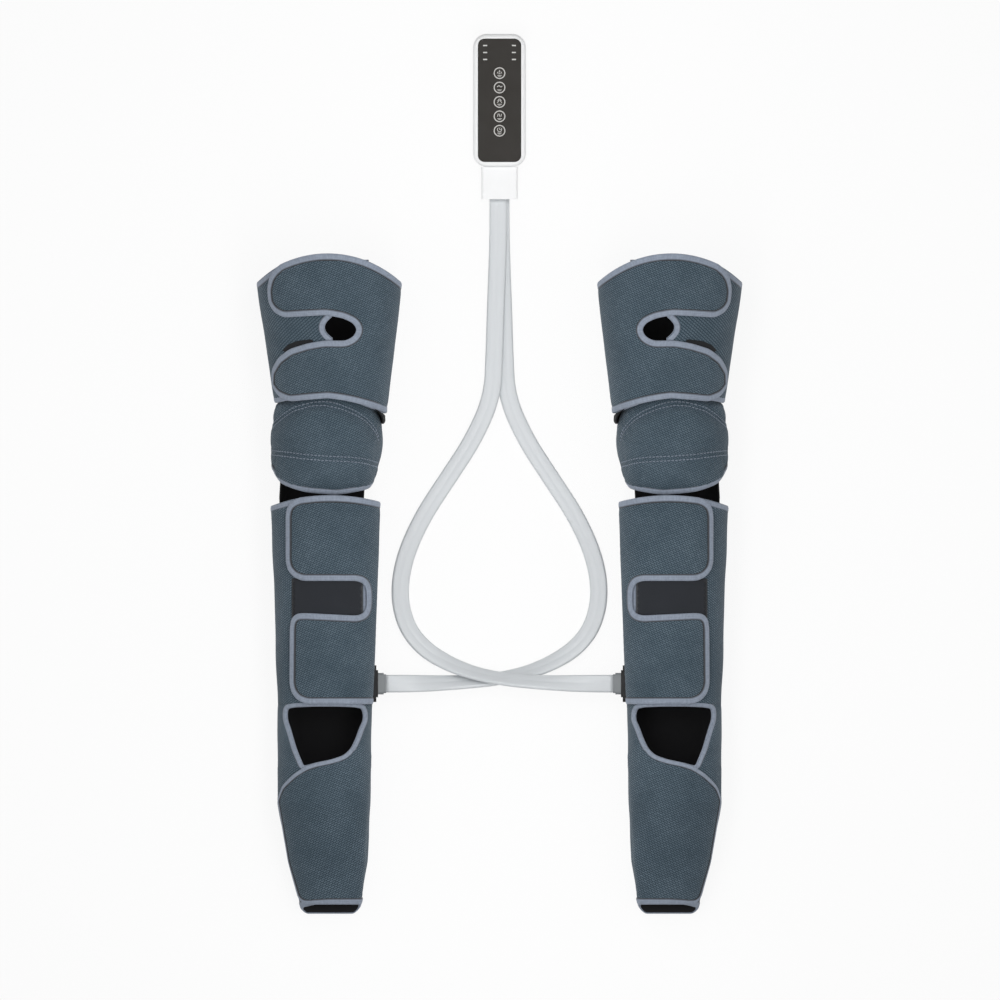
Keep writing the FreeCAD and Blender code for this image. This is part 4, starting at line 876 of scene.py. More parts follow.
# Toe: height at which the upper begins over the sole, how far it stays back, and less so at the outer side
SOLE_TOP, SOLE_FADE, UPPER_BACK, OUTER_BACK = 14.0, 6.0, 14.0, 6.0
OUTER_ACROSS, OUTER_FADE = -2.0, 28.0
# Round corners of the sole: its middle across, where the corners begin and how fast they turn
SOLE_MIDDLE, CORNER_ACROSS, CORNER_TURN = 5.0, 27.0, 0.06


def hem_edge(u, z=0.0):
    """Lower edge of the thigh wrap, which drops towards the inner side."""
    return THIGH_HEM_EDGE(u) - HEM_SLOPE * np.maximum(u, 0)


def keyhole_edge(y):
    """Left edge of the thigh slit, rounded where it shows in the keyhole of the flap."""
    t = np.clip((np.asarray(y, float) - KEYHOLE_Y) / KEYHOLE_HALF, -1, 1)
    return KEYHOLE_DEPTH * t * t + KEYHOLE_LEFT


def lining_hem(u, z=0.0):
    """Lower edge of the thigh lining, which hangs out a little at the inner back."""
    inner = np.clip((np.asarray(u, float) - HANG_ACROSS) / HANG_FADE, 0, 1)
    back = np.clip((HANG_TOP - np.asarray(z, float)) / HANG_FADE, 0, 1)
    return hem_edge(u) - LINING_HANG * (inner * back)


def toe_edge(u, z=0.0):
    """End of the foot wrap: the sole reaches past the upper, whose outer side shows under the flap."""
    upper = np.clip((np.asarray(z, float) - SOLE_TOP) / SOLE_FADE, 0, 1)
    outer = np.clip((OUTER_ACROSS - np.asarray(u, float)) / OUTER_FADE, 0, 1)
    corner = np.maximum(np.abs(np.asarray(u, float) - SOLE_MIDDLE) - CORNER_ACROSS, 0)
    return TOE_Y + (UPPER_BACK - OUTER_BACK * outer) * upper + CORNER_TURN * corner ** 2 * (1 - upper)


def cut_line(points, step=CUT_STEP, rounds=4):
    """A drawn cut with its corners eased, as even points."""
    p = plan(points)
    out = []
    for a, b in zip(p[:-1], p[1:]):
        count = max(1, int(round(np.linalg.norm(b - a) / step)))
        out += [a + (b - a) * i / count for i in range(count)]
    line = np.array(out + [p[-1]])
    for _ in range(rounds):
        line[1:-1] = (line[:-2] + 2 * line[1:-1] + line[2:]) / 4
    return line


def along_edge(run, edge, s):
    """Places along of an edge at the given arc lengths."""
    y = np.full_like(s, middle_place(run))
    for _ in range(EDGE_ROUNDS):
        pos = around(run, s, y, 0.0)[0]
        y = edge(pos[:, 0], pos[:, 2])
    return np.stack([s, y], 1)


def hinge_arc(run, y):
    """Arc length of a flap's hinge line."""
    u, start, _, lean, _ = HINGES[run]
    return arc_at(run, u + (np.asarray(y, float) - start) * lean, y)


def as_sheet():
    """A step that leaves a piece as it is, given for a cut of cloth that is sewn flat on another."""
    return lambda obj: obj


def edge_fade(s, y, edges):
    """One at the named rims of a grid and less inside it, so that padded cloth pinches at its seams."""
    gaps = {"top": y[:, -1:] - y, "low": y - y[:, :1], "start": s - s[:1], "end": s[-1:] - s}
    return np.exp(-np.min([gaps[e] for e in edges], axis=0) / PINCH_REACH)


def tape_line(cloth, run, line, off, thick, finish_number, inward, closed=False, share=1.0):
    """Edge tape along arc lengths and places, in a share of the width that the user set."""
    width = bpy.context.scene.massager_fabric.tape_width / MM * share
    s, y = line[:, 0], line[:, 1]
    pos, facing = around(run, s, y, off)
    ahead = around(run, s + 1, y, off)[0] - around(run, s - 1, y, off)[0]
    along = around(run, s, y + 1, off)[0] - around(run, s, y - 1, off)[0]
    normals = np.cross(ahead, along)
    normals *= np.sign((normals * facing).sum(1))[:, None]
    add_binding(cloth, pos, unit(normals), width, thick, finish_number, closed, inward)


def padded_wrap(name, edges, slit, body, taped, lining_low=None, pinch=EDGE_PINCH):
    """A padded wrap round the leg with taped edges, and its lining, on both legs."""
    left_u, right_u = slit
    grid = GRIDS[name]

    def start(y):
        return arc_at(name, right_u(y), y)

    def end(y):
        return arc_at(name, left_u(y), y) + girth(name, y)

    s, y = wrap_grid(name, start, end, *edges, *grid)
    fade = edge_fade(s, y, taped)
    inner, outer = -CUFF_WALL + pinch * fade, -EDGE_DROP * fade
    wrap = Cloth()
    swell = bpy.context.scene.massager_fabric.swell / MM
    add_wrap(wrap, name, s, y, outer, inner + LINING_ROOM, (0, 1), swell)
    middle = (pinch - CUFF_WALL - EDGE_DROP) / 2
    thick = CUFF_WALL - pinch + TAPE_EXTRA
    rims = {"top": (np.s_[:, -1], 1), "low": (np.s_[:, 0], -1), "start": (np.s_[0, :], 1),
            "end": (np.s_[-1, :], -1)}
    for edge in taped:
        part, inward = rims[edge]
        tape_line(wrap, name, np.stack([s[part], y[part]], 1), middle, thick, 2, inward)
    sew(name + "_wrap", wrap, CLOTHS, (name + "_cuff", name + "_air_cell"), body=body,
        declare=lambda obj: obj)
    inside = Cloth()
    flare = np.zeros_like(s)
    if lining_low:
        s, y = wrap_grid(name, start, end, lining_low, edges[1], *grid)
        at = around(name, s, y, 0.0)[0]
        drop = edges[0](at[..., 0], at[..., 2]) - y
        flare = FLARE_OUT * np.clip((drop + FLARE_EARLY) / FLARE_RISE, 0, 1)
        flare *= np.sqrt(1 - np.clip((drop - FLARE_HOLD) / FLARE_FALL, 0, 1) ** 2)
        flare *= np.clip((at[..., 2] - FLARE_LOW) / FLARE_LOW_FADE, 0, 1)
    add_wrap(inside, name, s, y, inner + LINING_THICK + flare, inner + flare, (0, 0))
    sew(name + "_inner_cloth", inside, ("lining",), (name + "_lining",), body=body,
        declare=as_sheet())


def sewn_flap(name, cut, edges, under=FLAP_UNDER, over=FLAP_OVER, root=None, flush=0.0, narrow=1.0):
    """A closing flap with taped edges that runs on over its hinge and sinks into the wrap, on both legs."""
    low_edge, high_edge = edges
    run_on, sink = FLAP_ENDS[name]
    left = on_leg(name, cut_line(cut), over)
    low_end = hinge_arc(name, left[-1, 1]) + run_on
    high_end = hinge_arc(name, left[0, 1]) + run_on
    low = along_edge(name, low_edge, np.arange(left[-1, 0] + CUT_STEP, low_end, CUT_STEP))
    high = along_edge(name, high_edge, np.arange(high_end, left[0, 0] + CUT_STEP, -CUT_STEP))
    seam = np.concatenate([high, left, low])
    far = np.linspace(low[-1, 1], high[0, 1], FAR_POINTS)[1:-1]
    ends = np.stack([np.interp(far, [low[-1, 1], high[0, 1]], [low[-1, 0], high[0, 0]]), far], 1)
    outline = np.concatenate([seam, ends])

    def taper(s, y):
        t = np.clip((s - hinge_arc(name, y) - SINK_START) / (run_on - SINK_START - SINK_STOP), 0, 1)
        near = np.clip((y - high[:, 1].max() + FLUSH_REACH) / FLUSH_REACH, 0, 1)
        return np.maximum(sink * t * t * (3 - 2 * t), flush * near * near)

    flap = Cloth()
    add_panel(flap, name, outline, over, under, (0, 1), puff=FLAP_SWELL, taper=taper,
              hold=FLAP_HOLD * narrow)
    rim = RIM_SHARE * (over - under)
    taped = np.concatenate([left, low]) if flush else seam
    share = np.where(np.arange(len(taped)) < len(left), narrow, 1.0)
    span = 2 * WIDTH_REACH + 1
    share = np.convolve(np.pad(share, WIDTH_REACH, "edge"), np.ones(span) / span, "valid") if flush else 1.0
    middle = under + rim / 2 - taper(taped[:, 0], taped[:, 1])
    tape_line(flap, name, taped, middle, rim + FLAP_TAPE_EXTRA, 2, -1, share=share)
    u, y, z, lean, climb = HINGES[name]
    axis = np.array([lean, 1.0, climb]) / np.linalg.norm([lean, 1.0, climb])
    turn = HINGE_TURN - axis * np.dot(HINGE_TURN, axis)
    turn /= np.linalg.norm(turn)
    at = np.array([u, y, z])
    sew(name + "_closing", flap, CLOTHS, (name + "_flap",),
        bend=(name + "_flap", root or name, at - HINGE_BEFORE * turn, at + HINGE_AFTER * turn),
        declare=as_sheet())


def box_outline(run, low, high):
    """A cut with straight sides, from plan limits across and along."""
    (u0, y0), (u1, y1) = low, high
    us, ys = np.arange(u0, u1, BOX_STEP), np.arange(y0, y1, BOX_STEP)
    pts = [(u, y0) for u in us] + [(u1, y) for y in ys] + [(u, y1) for u in u1 + u0 - us]
    pts += [(u0, y) for y in y1 + y0 - ys]
    return on_leg(run, np.array(pts))


def on_calf(shares):
    """Plan points of the calf, from shares of its half width and length."""
    span, half = CALF_TOP_Y - CALF_Y, RUNS["calf"][1][1] / 2
    return [(u * half, CALF_Y + v * span) for u, v in shares]


def hook_patches(name, boxes, body, slivers=()):
    """Hook tape patches under a flap's tabs, on both legs."""
    tape = Cloth()
    cuts = [box_outline(name, *b) for b in boxes]
    cuts += [on_leg(name, cut_line(points + points[:1], rounds=1)[:-1]) for points in slivers]
    for cut in cuts:
        add_panel(tape, name, cut, HOOK_OVER, HOOK_UNDER, (0, 0), edge_soft=HOOK_EDGE)
    sew(name + "_hooks", tape, ("hook_tape",), (name + "_hook_tape",), body=body,
        declare=as_sheet())


class MASSAGER_OT_thigh_wraps(bpy.types.Operator):
    """Sew the thigh wraps with their closing flaps, hook patches and linings."""

    bl_idname = "massager.thigh_wraps"
    bl_label = "Sew thigh wraps"

    def execute(self, context):
        edges = (hem_edge, THIGH_TOP_EDGE)
        padded_wrap("thigh", edges, (keyhole_edge, level(THIGH_SLIT_RIGHT)), "thigh",
                    ("top", "low", "start", "end"), lining_hem)
        sewn_flap("thigh", THIGH_CUT, edges)
        hook_patches("thigh", THIGH_HOOKS, "thigh_flap", [THIGH_SLIVER])
        return {"FINISHED"}


class MASSAGER_OT_calf_wraps(bpy.types.Operator):
    """Sew the calf wraps with their closing flaps, hook patches, loop panels and linings."""

    bl_idname = "massager.calf_wraps"
    bl_label = "Sew calf wraps"

    def execute(self, context):
        padded_wrap("calf", (level(ANKLE_HIGH), CALF_TOP_EDGE), [level(u) for u in CALF_SLIT],
                    "calves_and_hoses", ("top", "start", "end"))
        sewn_flap("calf", CALF_CUT, (level(CALF_FLAP_LOW), CALF_TOP_EDGE), root="calves_and_hoses")
        hook_patches("calf", [on_calf(box) for box in CALF_HOOKS], "calf_flap")
        return {"FINISHED"}


class MASSAGER_OT_foot_wraps(bpy.types.Operator):
    """Sew the foot wraps with their closing flaps and linings."""

    bl_idname = "massager.foot_wraps"
    bl_label = "Sew foot wraps"

    def execute(self, context):
        padded_wrap("foot", (toe_edge, level(ANKLE_LOW)), [level(u) for u in FOOT_SLIT], "foot",
                    ("low", "start", "end"), pinch=EDGE_PINCH + 2.0)
        sewn_flap("foot", FOOT_CUT, (level(FOOT_FLAP_LOW), level(FOOT_FLAP_HIGH)), under=0.5, over=3.4,
                  flush=2.4, narrow=0.66)
        return {"FINISHED"}


# Plan of the instep opening: its left and right edges, from the calf down to the foot
OPENING_LEFT = ((289, 705.4), (285.2, 709), (285, 719), (288.7, 729), (295.1, 749), (302.6, 766.2))
OPENING_RIGHT = (
    (361, 705), (365.6, 712), (366, 719.5), (361.8, 727.5), (357.8, 738), (352.2, 749), (344.9, 755.6),
    (332, 759.9), (315.4, 763.2), (303.6, 766.4))
# Plan of the two quilting seams on the knee pad
ARCH_SEAM = (
    (271, 425.5), (280, 417.5), (292, 409.3), (311, 404), (327, 403.3), (343, 407.4), (358, 413.5),
    (369, 420.5), (378, 431), (381, 440))
CROSS_SEAM = (
    (269, 452.6), (283, 454), (305, 456.8), (327, 458.4), (350, 459.4), (364, 460.6), (375, 463.4),
    (382, 465.6))
# Knee pad: how far it is filled, half the width of a seam, and its depth
PAD_PUFF, SEAM_HALF, PAD_INSIDE = 4.2, 3.8, 5.2
# What the filling may push out beyond that, the pad's drop before it is filled, and the pinch of its rim
PUFF_SPARE, PAD_DROP, PAD_PINCH = 1.0, 0.6, 1.2
# How far below the thigh's hem the pad is held, because its top is tucked in there
TUCK_LAP = 3.0
# Middle and thickness of the pad's tape, and height of its stitches
PAD_TAPE, PAD_TAPE_THICK, STITCH_OFF = -2.4, 4.6, -0.4
# Spacing of points on the pad's seams, the rounds in which they are eased and the height of their plan
SEAM_STEP, SEAM_ROUNDS, SEAM_OFF = 2.0, 6, 2.0
# Under the pad: the gap to the knee lining and the depth of its inner side, and how much shorter its top is
KNEE_LINING_GAP, KNEE_LINING_DEPTH, KNEE_LINING_SHORT = 0.2, 1.7, 1.0
# Its rim that is held, and how far past the rim the relief and the filling grow
PAD_RIM, PAD_RIM_FADE, PAD_EDGE_REACH = 5.6, 4.0, 8.0
# Pressure of the filling, and the frames in which it settles
PAD_PRESSURE, FILL_FRAMES = 30.0, 20
# Places along, from the knee's lower end, where its skirt is high, low, low and high, and its heights
SKIRT_PLACES, SKIRT_LOW, SKIRT_RISE = (-6, 34, 60, 106), 4.0, 32.0
# Depth and half width of a seam's groove, and the reach past the seam in which the cloth is loose
GROOVE_DEPTH, GROOVE_HALF, LOOSE_REACH = 1.4, 1.5, 3.0
# Puckers beside a seam: height, reach, turns for each millimetre along, and the waver of those turns
PUCKER, PUCKER_REACH, PUCKER_TURN, WAVER, WAVER_TURN = 0.55, 6.5, 0.74, 1.8, 0.13
# Stitches: length, gap and thickness, and how far each row lies from the middle of the two seams
STITCH_LENGTH, STITCH_GAP, STITCH_THICK, ROW_LIFTS = 3.4, 1.4, 1.1, (2.4, 2.8)
# Lift of the knee lining's sides above the pad's, and how far its lower edge stays inside the pad's
LINING_LIFT, LINING_INSET = 13.0, 3.0
# Outside and inside of the strap behind the knee, and the shares of the back corner where its sides end
STRAP_OUTSIDE, STRAP_INSIDE, STRAP_SHARES = -8.8, -11.5, (0.68, 0.3)
# Inside of the ankle's cloth, how far it pinches at its open edges, and the power that crowds its rows
GUSSET_INSIDE, GUSSET_PINCH, GUSSET_CROWD = -5.4, 0.8, 1.7
# Tape of the instep opening: middle, thickness and share of the set width
OPENING_TAPE, OPENING_TAPE_THICK, OPENING_TAPE_SHARE = -2.5, 5.4, 0.76
# Spacing of points on the opening's edges and on its tape, and the rounds in which both are eased
OPENING_STEP, OPENING_TAPE_STEP, OPENING_ROUNDS = 1.5, 2.0, 3
# Limits passed on for the ankle and the knee strap, which are not used to bend them: across, along and up
ANKLE_BEND = ((0, -296.0, 20.0), (0, -359.0, 20.0))
KNEE_BEND = ((0, -46.0, 10.0), (0, -9.0, 10.0))
# Loop panel: limits as shares of the calf's half width and length, its two sides and its soft edge
LOOP_LIMITS = ((-0.62, 0.415), (0.66, 0.607))
LOOP_OVER, LOOP_UNDER, LOOP_EDGE = 1.1, 0.15, 1.2
# Zigzag seam of a loop panel: inset at its ends, pitch, its two places across, height and thickness
ZIGZAG_INSET, ZIGZAG_PITCH, ZIGZAG_FAR, ZIGZAG_NEAR = 1.5, 2.6, 4.6, 1.2
ZIGZAG_HEIGHT, ZIGZAG_THICK = 1.0, 0.6


def opening_arcs():
    """Arc lengths of the two edges of the instep opening, as functions of the place along."""
    made = []
    for points in (OPENING_LEFT, OPENING_RIGHT):
        line = cut_line(points, OPENING_STEP, OPENING_ROUNDS)[::-1]
        made.append(lambda y, line=line: arc_at("ankle", np.interp(y, line[:, 1], line[:, 0]), y))
    return made


class MASSAGER_OT_ankle_gussets(bpy.types.Operator):
    """Sew the soft ankles with their open insteps."""

    bl_idname = "massager.ankle_gussets"
    bl_label = "Sew ankles"

    def execute(self, context):
        left, right = opening_arcs()
        s, y = wrap_grid("ankle", right, lambda v: left(v) + girth("ankle", v),
                         level(ANKLE_LOW), level(ANKLE_HIGH), *GRIDS["ankle"], crowd=GUSSET_CROWD)
        d = np.minimum(s - s[:1], s[-1:] - s)
        fade = np.exp(-d / PINCH_REACH)
        gusset = Cloth()
        add_wrap(gusset, "ankle", s, y, -EDGE_DROP * fade, GUSSET_INSIDE + GUSSET_PINCH * fade, (0, 1),
                 context.scene.massager_fabric.swell / MM)
        sides = [cut_line(p, OPENING_TAPE_STEP, OPENING_ROUNDS) for p in (OPENING_LEFT, OPENING_RIGHT)]
        rim = on_leg("ankle", np.concatenate([sides[0], sides[1][::-1]]))
        for _ in range(OPENING_ROUNDS):
            rim = (np.roll(rim, 1, 0) + 2 * rim + np.roll(rim, -1, 0)) / 4
        tape_line(gusset, "ankle", even_ring(rim, OPENING_TAPE_STEP), OPENING_TAPE, OPENING_TAPE_THICK,
                  2, 1, closed=True, share=OPENING_TAPE_SHARE)
        sew("ankle_gusset_cloth", gusset, CLOTHS, ("ankle_gusset",),
            bend=("calves_and_hoses", "foot", *ANKLE_BEND),
            declare=as_sheet())
        return {"FINISHED"}


def even_ring(points, step):
    """Evenly spaced points round a closed line."""
    ring = np.concatenate([points, points[:1]])
    run_on = run_lengths(ring)
    marks = np.linspace(0, run_on[-1], int(run_on[-1] / step), endpoint=False)
    return np.stack([np.interp(marks, run_on, ring[:, i]) for i in (0, 1)], 1)


def skirt_arc(y, lift=0.0):
    """Arc length at which the knee pad ends beside the knee."""
    c = section("knee", y)
    t = np.interp(y, [KNEE_Y + place for place in SKIRT_PLACES], [1, 0, 0, 1])
    z = lift + SKIRT_LOW + SKIRT_RISE * t * t * (3 - 2 * t)
    turned = np.arcsin(np.clip(1 - z / c["rb"], 0, 1))
    return np.where(z > c["rb"], c["ends"][1] + c["cz"] - z, c["ends"][2] + c["rb"] * turned)


def seam_line(points):
    """A seam of the knee pad as even arc lengths and places along."""
    return on_leg("knee", cut_line(points, SEAM_STEP, SEAM_ROUNDS), SEAM_OFF)


def line_distance(s, y, line):
    """Distance of grid points from an open line, and how far along it they lie."""
    p = np.stack([s, y], -1)[:, :, None, :]
    a, b = line[:-1], line[1:]
    d = b - a
    t = np.clip(((p - a) * d).sum(-1) / (d * d).sum(-1), 0, 1)
    gap = np.sqrt(((a + t[..., None] * d - p) ** 2).sum(-1))
    marks = run_lengths(line)
    near = gap.argmin(-1)
    along = marks[near] + np.take_along_axis(t, near[..., None], -1)[..., 0] * np.diff(marks)[near]
    return gap.min(-1), along


# Rings of a stitch: share of its length, share of its thickness and rise; and the sides of each ring
STITCH_RINGS = ((0.0, 0.45, -0.3), (0.2, 0.9, 0.12), (0.5, 1.0, 0.25), (0.8, 0.9, 0.12), (1.0, 0.45, -0.3))
STITCH_SIDES = 6


def add_thread(cloth, a, b, normal, thick, finish_number):
    """One stitch: a short thread that dips at both ends."""
    ahead = (b - a) / np.linalg.norm(b - a)
    side = np.cross(ahead, normal)
    side /= np.linalg.norm(side)
    up = np.cross(side, ahead)
    n, last = STITCH_SIDES, len(STITCH_RINGS) - 1
    turn = np.linspace(0, 2 * math.pi, n, endpoint=False)
    rings = []
    for t, size, rise in STITCH_RINGS:
        at = a + (b - a) * t + up * rise
        rings += [at + (side * math.cos(k) + up * math.sin(k)) * thick / 2 * size for k in turn]
    faces = [tuple(range(n - 1, -1, -1)), tuple(range(last * n, last * n + n))]
    for i in range(0, last * n, n):
        faces += [(i + k, i + (k + 1) % n, i + n + (k + 1) % n, i + n + k) for k in range(n)]
    cloth.add(rings, faces, [(p[0], p[1]) for p in rings], finish_number)


def add_stitches(cloth, run, line, off, finish_number):
    """A row of stitches along arc lengths and places."""
    run_on = run_lengths(line)
    for m in np.arange(STITCH_GAP, run_on[-1] - STITCH_LENGTH, STITCH_LENGTH + STITCH_GAP):
        ends = [[np.interp(v, run_on, line[:, i]) for i in (0, 1)] for v in (m, m + STITCH_LENGTH)]
        (a, na), (b, _) = (around(run, *end, off) for end in ends)
        add_thread(cloth, a, b, na, STITCH_THICK, finish_number)


def filled(points, faces, held, pressure, cap):
    """The points, in millimetres, after the filling has pushed out the cloth that isn't held."""
    scene = bpy.context.scene
    obj = mesh_piece("filling", points * MM, faces)
    outward(obj)
    obj.vertex_groups.new(name="held").add([int(i) for i in np.flatnonzero(held)], 1.0, "REPLACE")
    cloth = obj.modifiers.new("filling", "CLOTH")
    cloth.settings.quality = 6
    cloth.settings.mass = 0.08
    cloth.settings.tension_stiffness = 12
    cloth.settings.compression_stiffness = 12
    cloth.settings.shear_stiffness = 4
    cloth.settings.bending_stiffness = 0.2
    cloth.settings.shrink_min = -0.04
    cloth.settings.use_pressure = True
    cloth.settings.uniform_pressure_force = pressure
    cloth.settings.vertex_group_mass = "held"
    cloth.settings.effector_weights.gravity = 0
    cloth.collision_settings.use_collision = False
    cloth.point_cache.frame_start = 1
    cloth.point_cache.frame_end = FILL_FRAMES
    for frame_number in range(1, FILL_FRAMES + 1):
        scene.frame_set(frame_number)
    shape = obj.evaluated_get(bpy.context.evaluated_depsgraph_get())
    moved = np.array([v.co[:] for v in shape.data.vertices]) / MM - points
    scene.frame_set(1)
    bpy.data.objects.remove(obj)
    length = np.linalg.norm(moved, axis=1)
    return points + moved * np.minimum(1, cap / np.maximum(length, 1e-6))[:, None]


def pad_height(s, y, seams):
    """Relief that sewing leaves on the knee pad before it is filled, and the distance to its seams."""
    gaps = [line_distance(s, y, line) for line in seams]
    nearest = np.min([g for g, _ in gaps], axis=0)
    groove = -GROOVE_DEPTH * np.exp(-(nearest / GROOVE_HALF) ** 2)
    pull = np.zeros_like(nearest)
    for gap, along in gaps:
        turns = along * PUCKER_TURN + WAVER * np.sin(along * WAVER_TURN)
        pull = pull + PUCKER * np.sin(turns) * np.exp(-gap / PUCKER_REACH)
    loose = np.clip((nearest - SEAM_HALF) / LOOSE_REACH, 0, 1)
    return groove + pull * loose, nearest


class MASSAGER_OT_knee_pads(bpy.types.Operator):
    """Sew the quilted knee pads, their linings and the straps behind the knees."""

    bl_idname = "massager.knee_pads"
    bl_label = "Sew knee pads"

    def execute(self, context):
        s, y = wrap_grid("knee", lambda v: -skirt_arc(v), skirt_arc, KNEE_LOW_EDGE, level(KNEE_TOP_Y),
                         *GRIDS["knee"])
        seams = [seam_line(ARCH_SEAM), seam_line(CROSS_SEAM)]
        rim = np.minimum(np.minimum(s - s[:1], s[-1:] - s), y - y[:, :1])
        relief, nearest = pad_height(s, y, seams)
        tucked = y > hem_edge(around("knee", s, y, 0.0)[0][..., 0]) - TUCK_LAP
        held = (rim < PAD_RIM) | (nearest < SEAM_HALF) | tucked
        outer = relief * np.clip((rim - PAD_RIM) / PAD_RIM_FADE, 0, 1) - PAD_DROP
        pad = Cloth()
        inner = np.full_like(outer, -PAD_INSIDE) + PAD_PINCH * np.exp(-rim / PAD_EDGE_REACH)
        add_wrap(pad, "knee", s, y, outer, inner, (0, 1))
        fixed = np.concatenate([held.ravel(), np.ones(held.size, bool)])
        points = filled(np.array(pad.points), pad.faces, fixed, PAD_PRESSURE, PAD_PUFF + PUFF_SPARE)
        pad.points = [tuple(p) for p in points]
        at = np.stack([s, y], -1)
        border = np.concatenate([at[0, ::-1], at[1:, 0], at[-1, 1:]])
        tape_line(pad, "knee", border, PAD_TAPE, PAD_TAPE_THICK, 2, -1)
        for line, lift in zip(seams, ROW_LIFTS):
            for place in (-lift, lift):
                add_stitches(pad, "knee", line + np.array([0.0, place]), STITCH_OFF, 2)
        sew("knee_quilt", pad, CLOTHS, ("knee_pad", "knee_heater"), body="thigh",
            declare=lambda obj: obj)
        s, y = wrap_grid("knee", lambda v: -skirt_arc(v, LINING_LIFT), lambda v: skirt_arc(v, LINING_LIFT),
                         lambda u, z: KNEE_LOW_EDGE(u, z) + LINING_INSET,
                         level(KNEE_TOP_Y - KNEE_LINING_SHORT), *GRIDS["knee_lining"])
        lining = Cloth()
        add_wrap(lining, "knee", s, y, -PAD_INSIDE - KNEE_LINING_GAP, -PAD_INSIDE - KNEE_LINING_DEPTH,
                 (0, 0))
        sew("knee_inner_cloth", lining, ("lining",), ("knee_lining",), body="thigh",
            declare=as_sheet())
        first, last = STRAP_SHARES
        s, y = wrap_grid("strap", lambda v: strap_arc(v, first),
                         lambda v: girth("strap", v) - strap_arc(v, last),
                         level(CALF_TOP_Y - STRAP_REACH), level(HEM_Y + STRAP_REACH), *GRIDS["strap"])
        strap = Cloth()
        add_wrap(strap, "strap", s, y, STRAP_OUTSIDE, STRAP_INSIDE, (0, 0))
        sew("knee_strap_cloth", strap, ("lining",), ("knee_strap",),
            bend=("calves_and_hoses", "thigh", *KNEE_BEND),
            declare=as_sheet())
        return {"FINISHED"}


def strap_arc(y, share):
    """Arc length on the back corner where the knee strap ends."""
    ends = section("strap", y)["ends"]
    return ends[2] + share * (ends[3] - ends[2])


class MASSAGER_OT_loop_panels(bpy.types.Operator):
    """Sew the loop panels on the calves, with the zigzag seam at their ends."""

    bl_idname = "massager.loop_panels"
    bl_label = "Sew loop panels"

    def execute(self, context):
        low, high = on_calf(LOOP_LIMITS)
        cut = box_outline("calf", low, high)
        panel = Cloth()
        add_panel(panel, "calf", cut, LOOP_OVER, LOOP_UNDER, (0, 0), edge_soft=LOOP_EDGE)
        ys = np.arange(low[1] + ZIGZAG_INSET, high[1] - ZIGZAG_INSET, ZIGZAG_PITCH)
        us = low[0] + np.where(np.arange(len(ys)) % 2, ZIGZAG_FAR, ZIGZAG_NEAR)
        zig = on_leg("calf", np.stack([us, ys], 1))
        for ends in zip(zig[:-1], zig[1:]):
            (a, na), (b, _) = (around("calf", *end, ZIGZAG_HEIGHT) for end in ends)
            add_thread(panel, a, b, na, ZIGZAG_THICK, 1)
        both = Cloth()
        for _, sign in SIDES:
            pts = np.array(panel.points)
            pts[:, 0] = -sign * (pts[:, 0] - LEG_AXIS)
            for number in (0, 1):
                keep = [f for f, k in zip(panel.faces, panel.finish) if k == number]
                both.add(pts, keep, panel.pattern, number)
        obj = mesh_piece("calf_loop_pile", np.array(both.points) * MM, both.faces,
                         np.array(both.pattern) * MM, both.finish, ("loop_pile", "hook_tape"))
        outward(obj)
        clear_loose(obj)
        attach(obj, "calves_and_hoses")
        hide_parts("calf_loop_panels")
        return {"FINISHED"}


def clear_loose(obj):
    """Takes away points that no face uses."""
    mesh = bmesh.new()
    mesh.from_mesh(obj.data)
    bmesh.ops.delete(mesh, geom=[v for v in mesh.verts if not v.link_faces], context="VERTS")
    mesh.to_mesh(obj.data)
    mesh.free()


CONTROL_FINISHES = {
    "front_shell": "white_case", "rear_shell": "white_case", "hose_manifold": "white_case",
    "control_panel": "panel", "indicator_lights": "light_bar", "housing_screws": "steel",
    "circuit_board": "board", "tact_switches": "dark_part", "air_pumps": "steel",
    "air_valves": "pale_part", "battery_pack": "cell_wrap", "charging_port": "dark_part",
    "air_sockets": "socket", "hose_plugs": "plug",
}
BUTTONS = ["button_%d" % (i + 1) for i in range(5)]
# Thickness of a printed sign, and how far below its ring lie its figure and long bar, and its short bar
SIGN_RISE, FIGURE_DROP, BAR_DROP = 0.12, 0.25, 0.2
# Figures of the five signs as bars: place across and up, length, width and angle in degrees
SIGN_FIGURES = (
    ((0, 2.3, 3.0, 0.95, 90), (-2.2, 0.7, 2.6, 0.8, 60), (2.2, 0.7, 2.6, 0.8, -60), (0, -0.7, 2.6, 0.8, 0)),
    ((-1.9, 1.6, 3.0, 0.95, 35), (0.5, 1.5, 2.6, 0.95, -35), (2.7, 1.3, 2.6, 0.95, 35)),
    ((-1.3, 2.6, 3.4, 0.8, 50), (1.3, 2.6, 3.4, 0.8, -50), (-1.6, 0.5, 4.0, 0.8, 50),
     (1.6, 0.5, 4.0, 0.8, -50)),
    ((-2.1, 1.4, 3.8, 0.8, 75), (0, 1.4, 3.8, 0.8, 105), (2.1, 1.4, 3.8, 0.8, 75)),
    ((0, 2.3, 1.9, 0.7, 90), (0.8, 1.35, 1.7, 0.7, 0)),
)
CLOCK_SIGN = 4
# Radius and width of a sign's ring and of the clock's, and how far up the clock's middle lies
SIGN_RING, CLOCK_RING, CLOCK_UP = (7.3, 1.25), (3.1, 0.75), 1.5
# Length and width of a sign's long and short bars, and how far down they lie
LONG_BAR, SHORT_BAR, LONG_DOWN, SHORT_DOWN = (9.6, 0.7), (5.6, 1.3), 2.9, 4.5


def dress(name, look):
    """Gives a CAD node its finish."""
    mesh = NODES[name].data
    mesh.materials.clear()
    mesh.materials.append(finish(look))


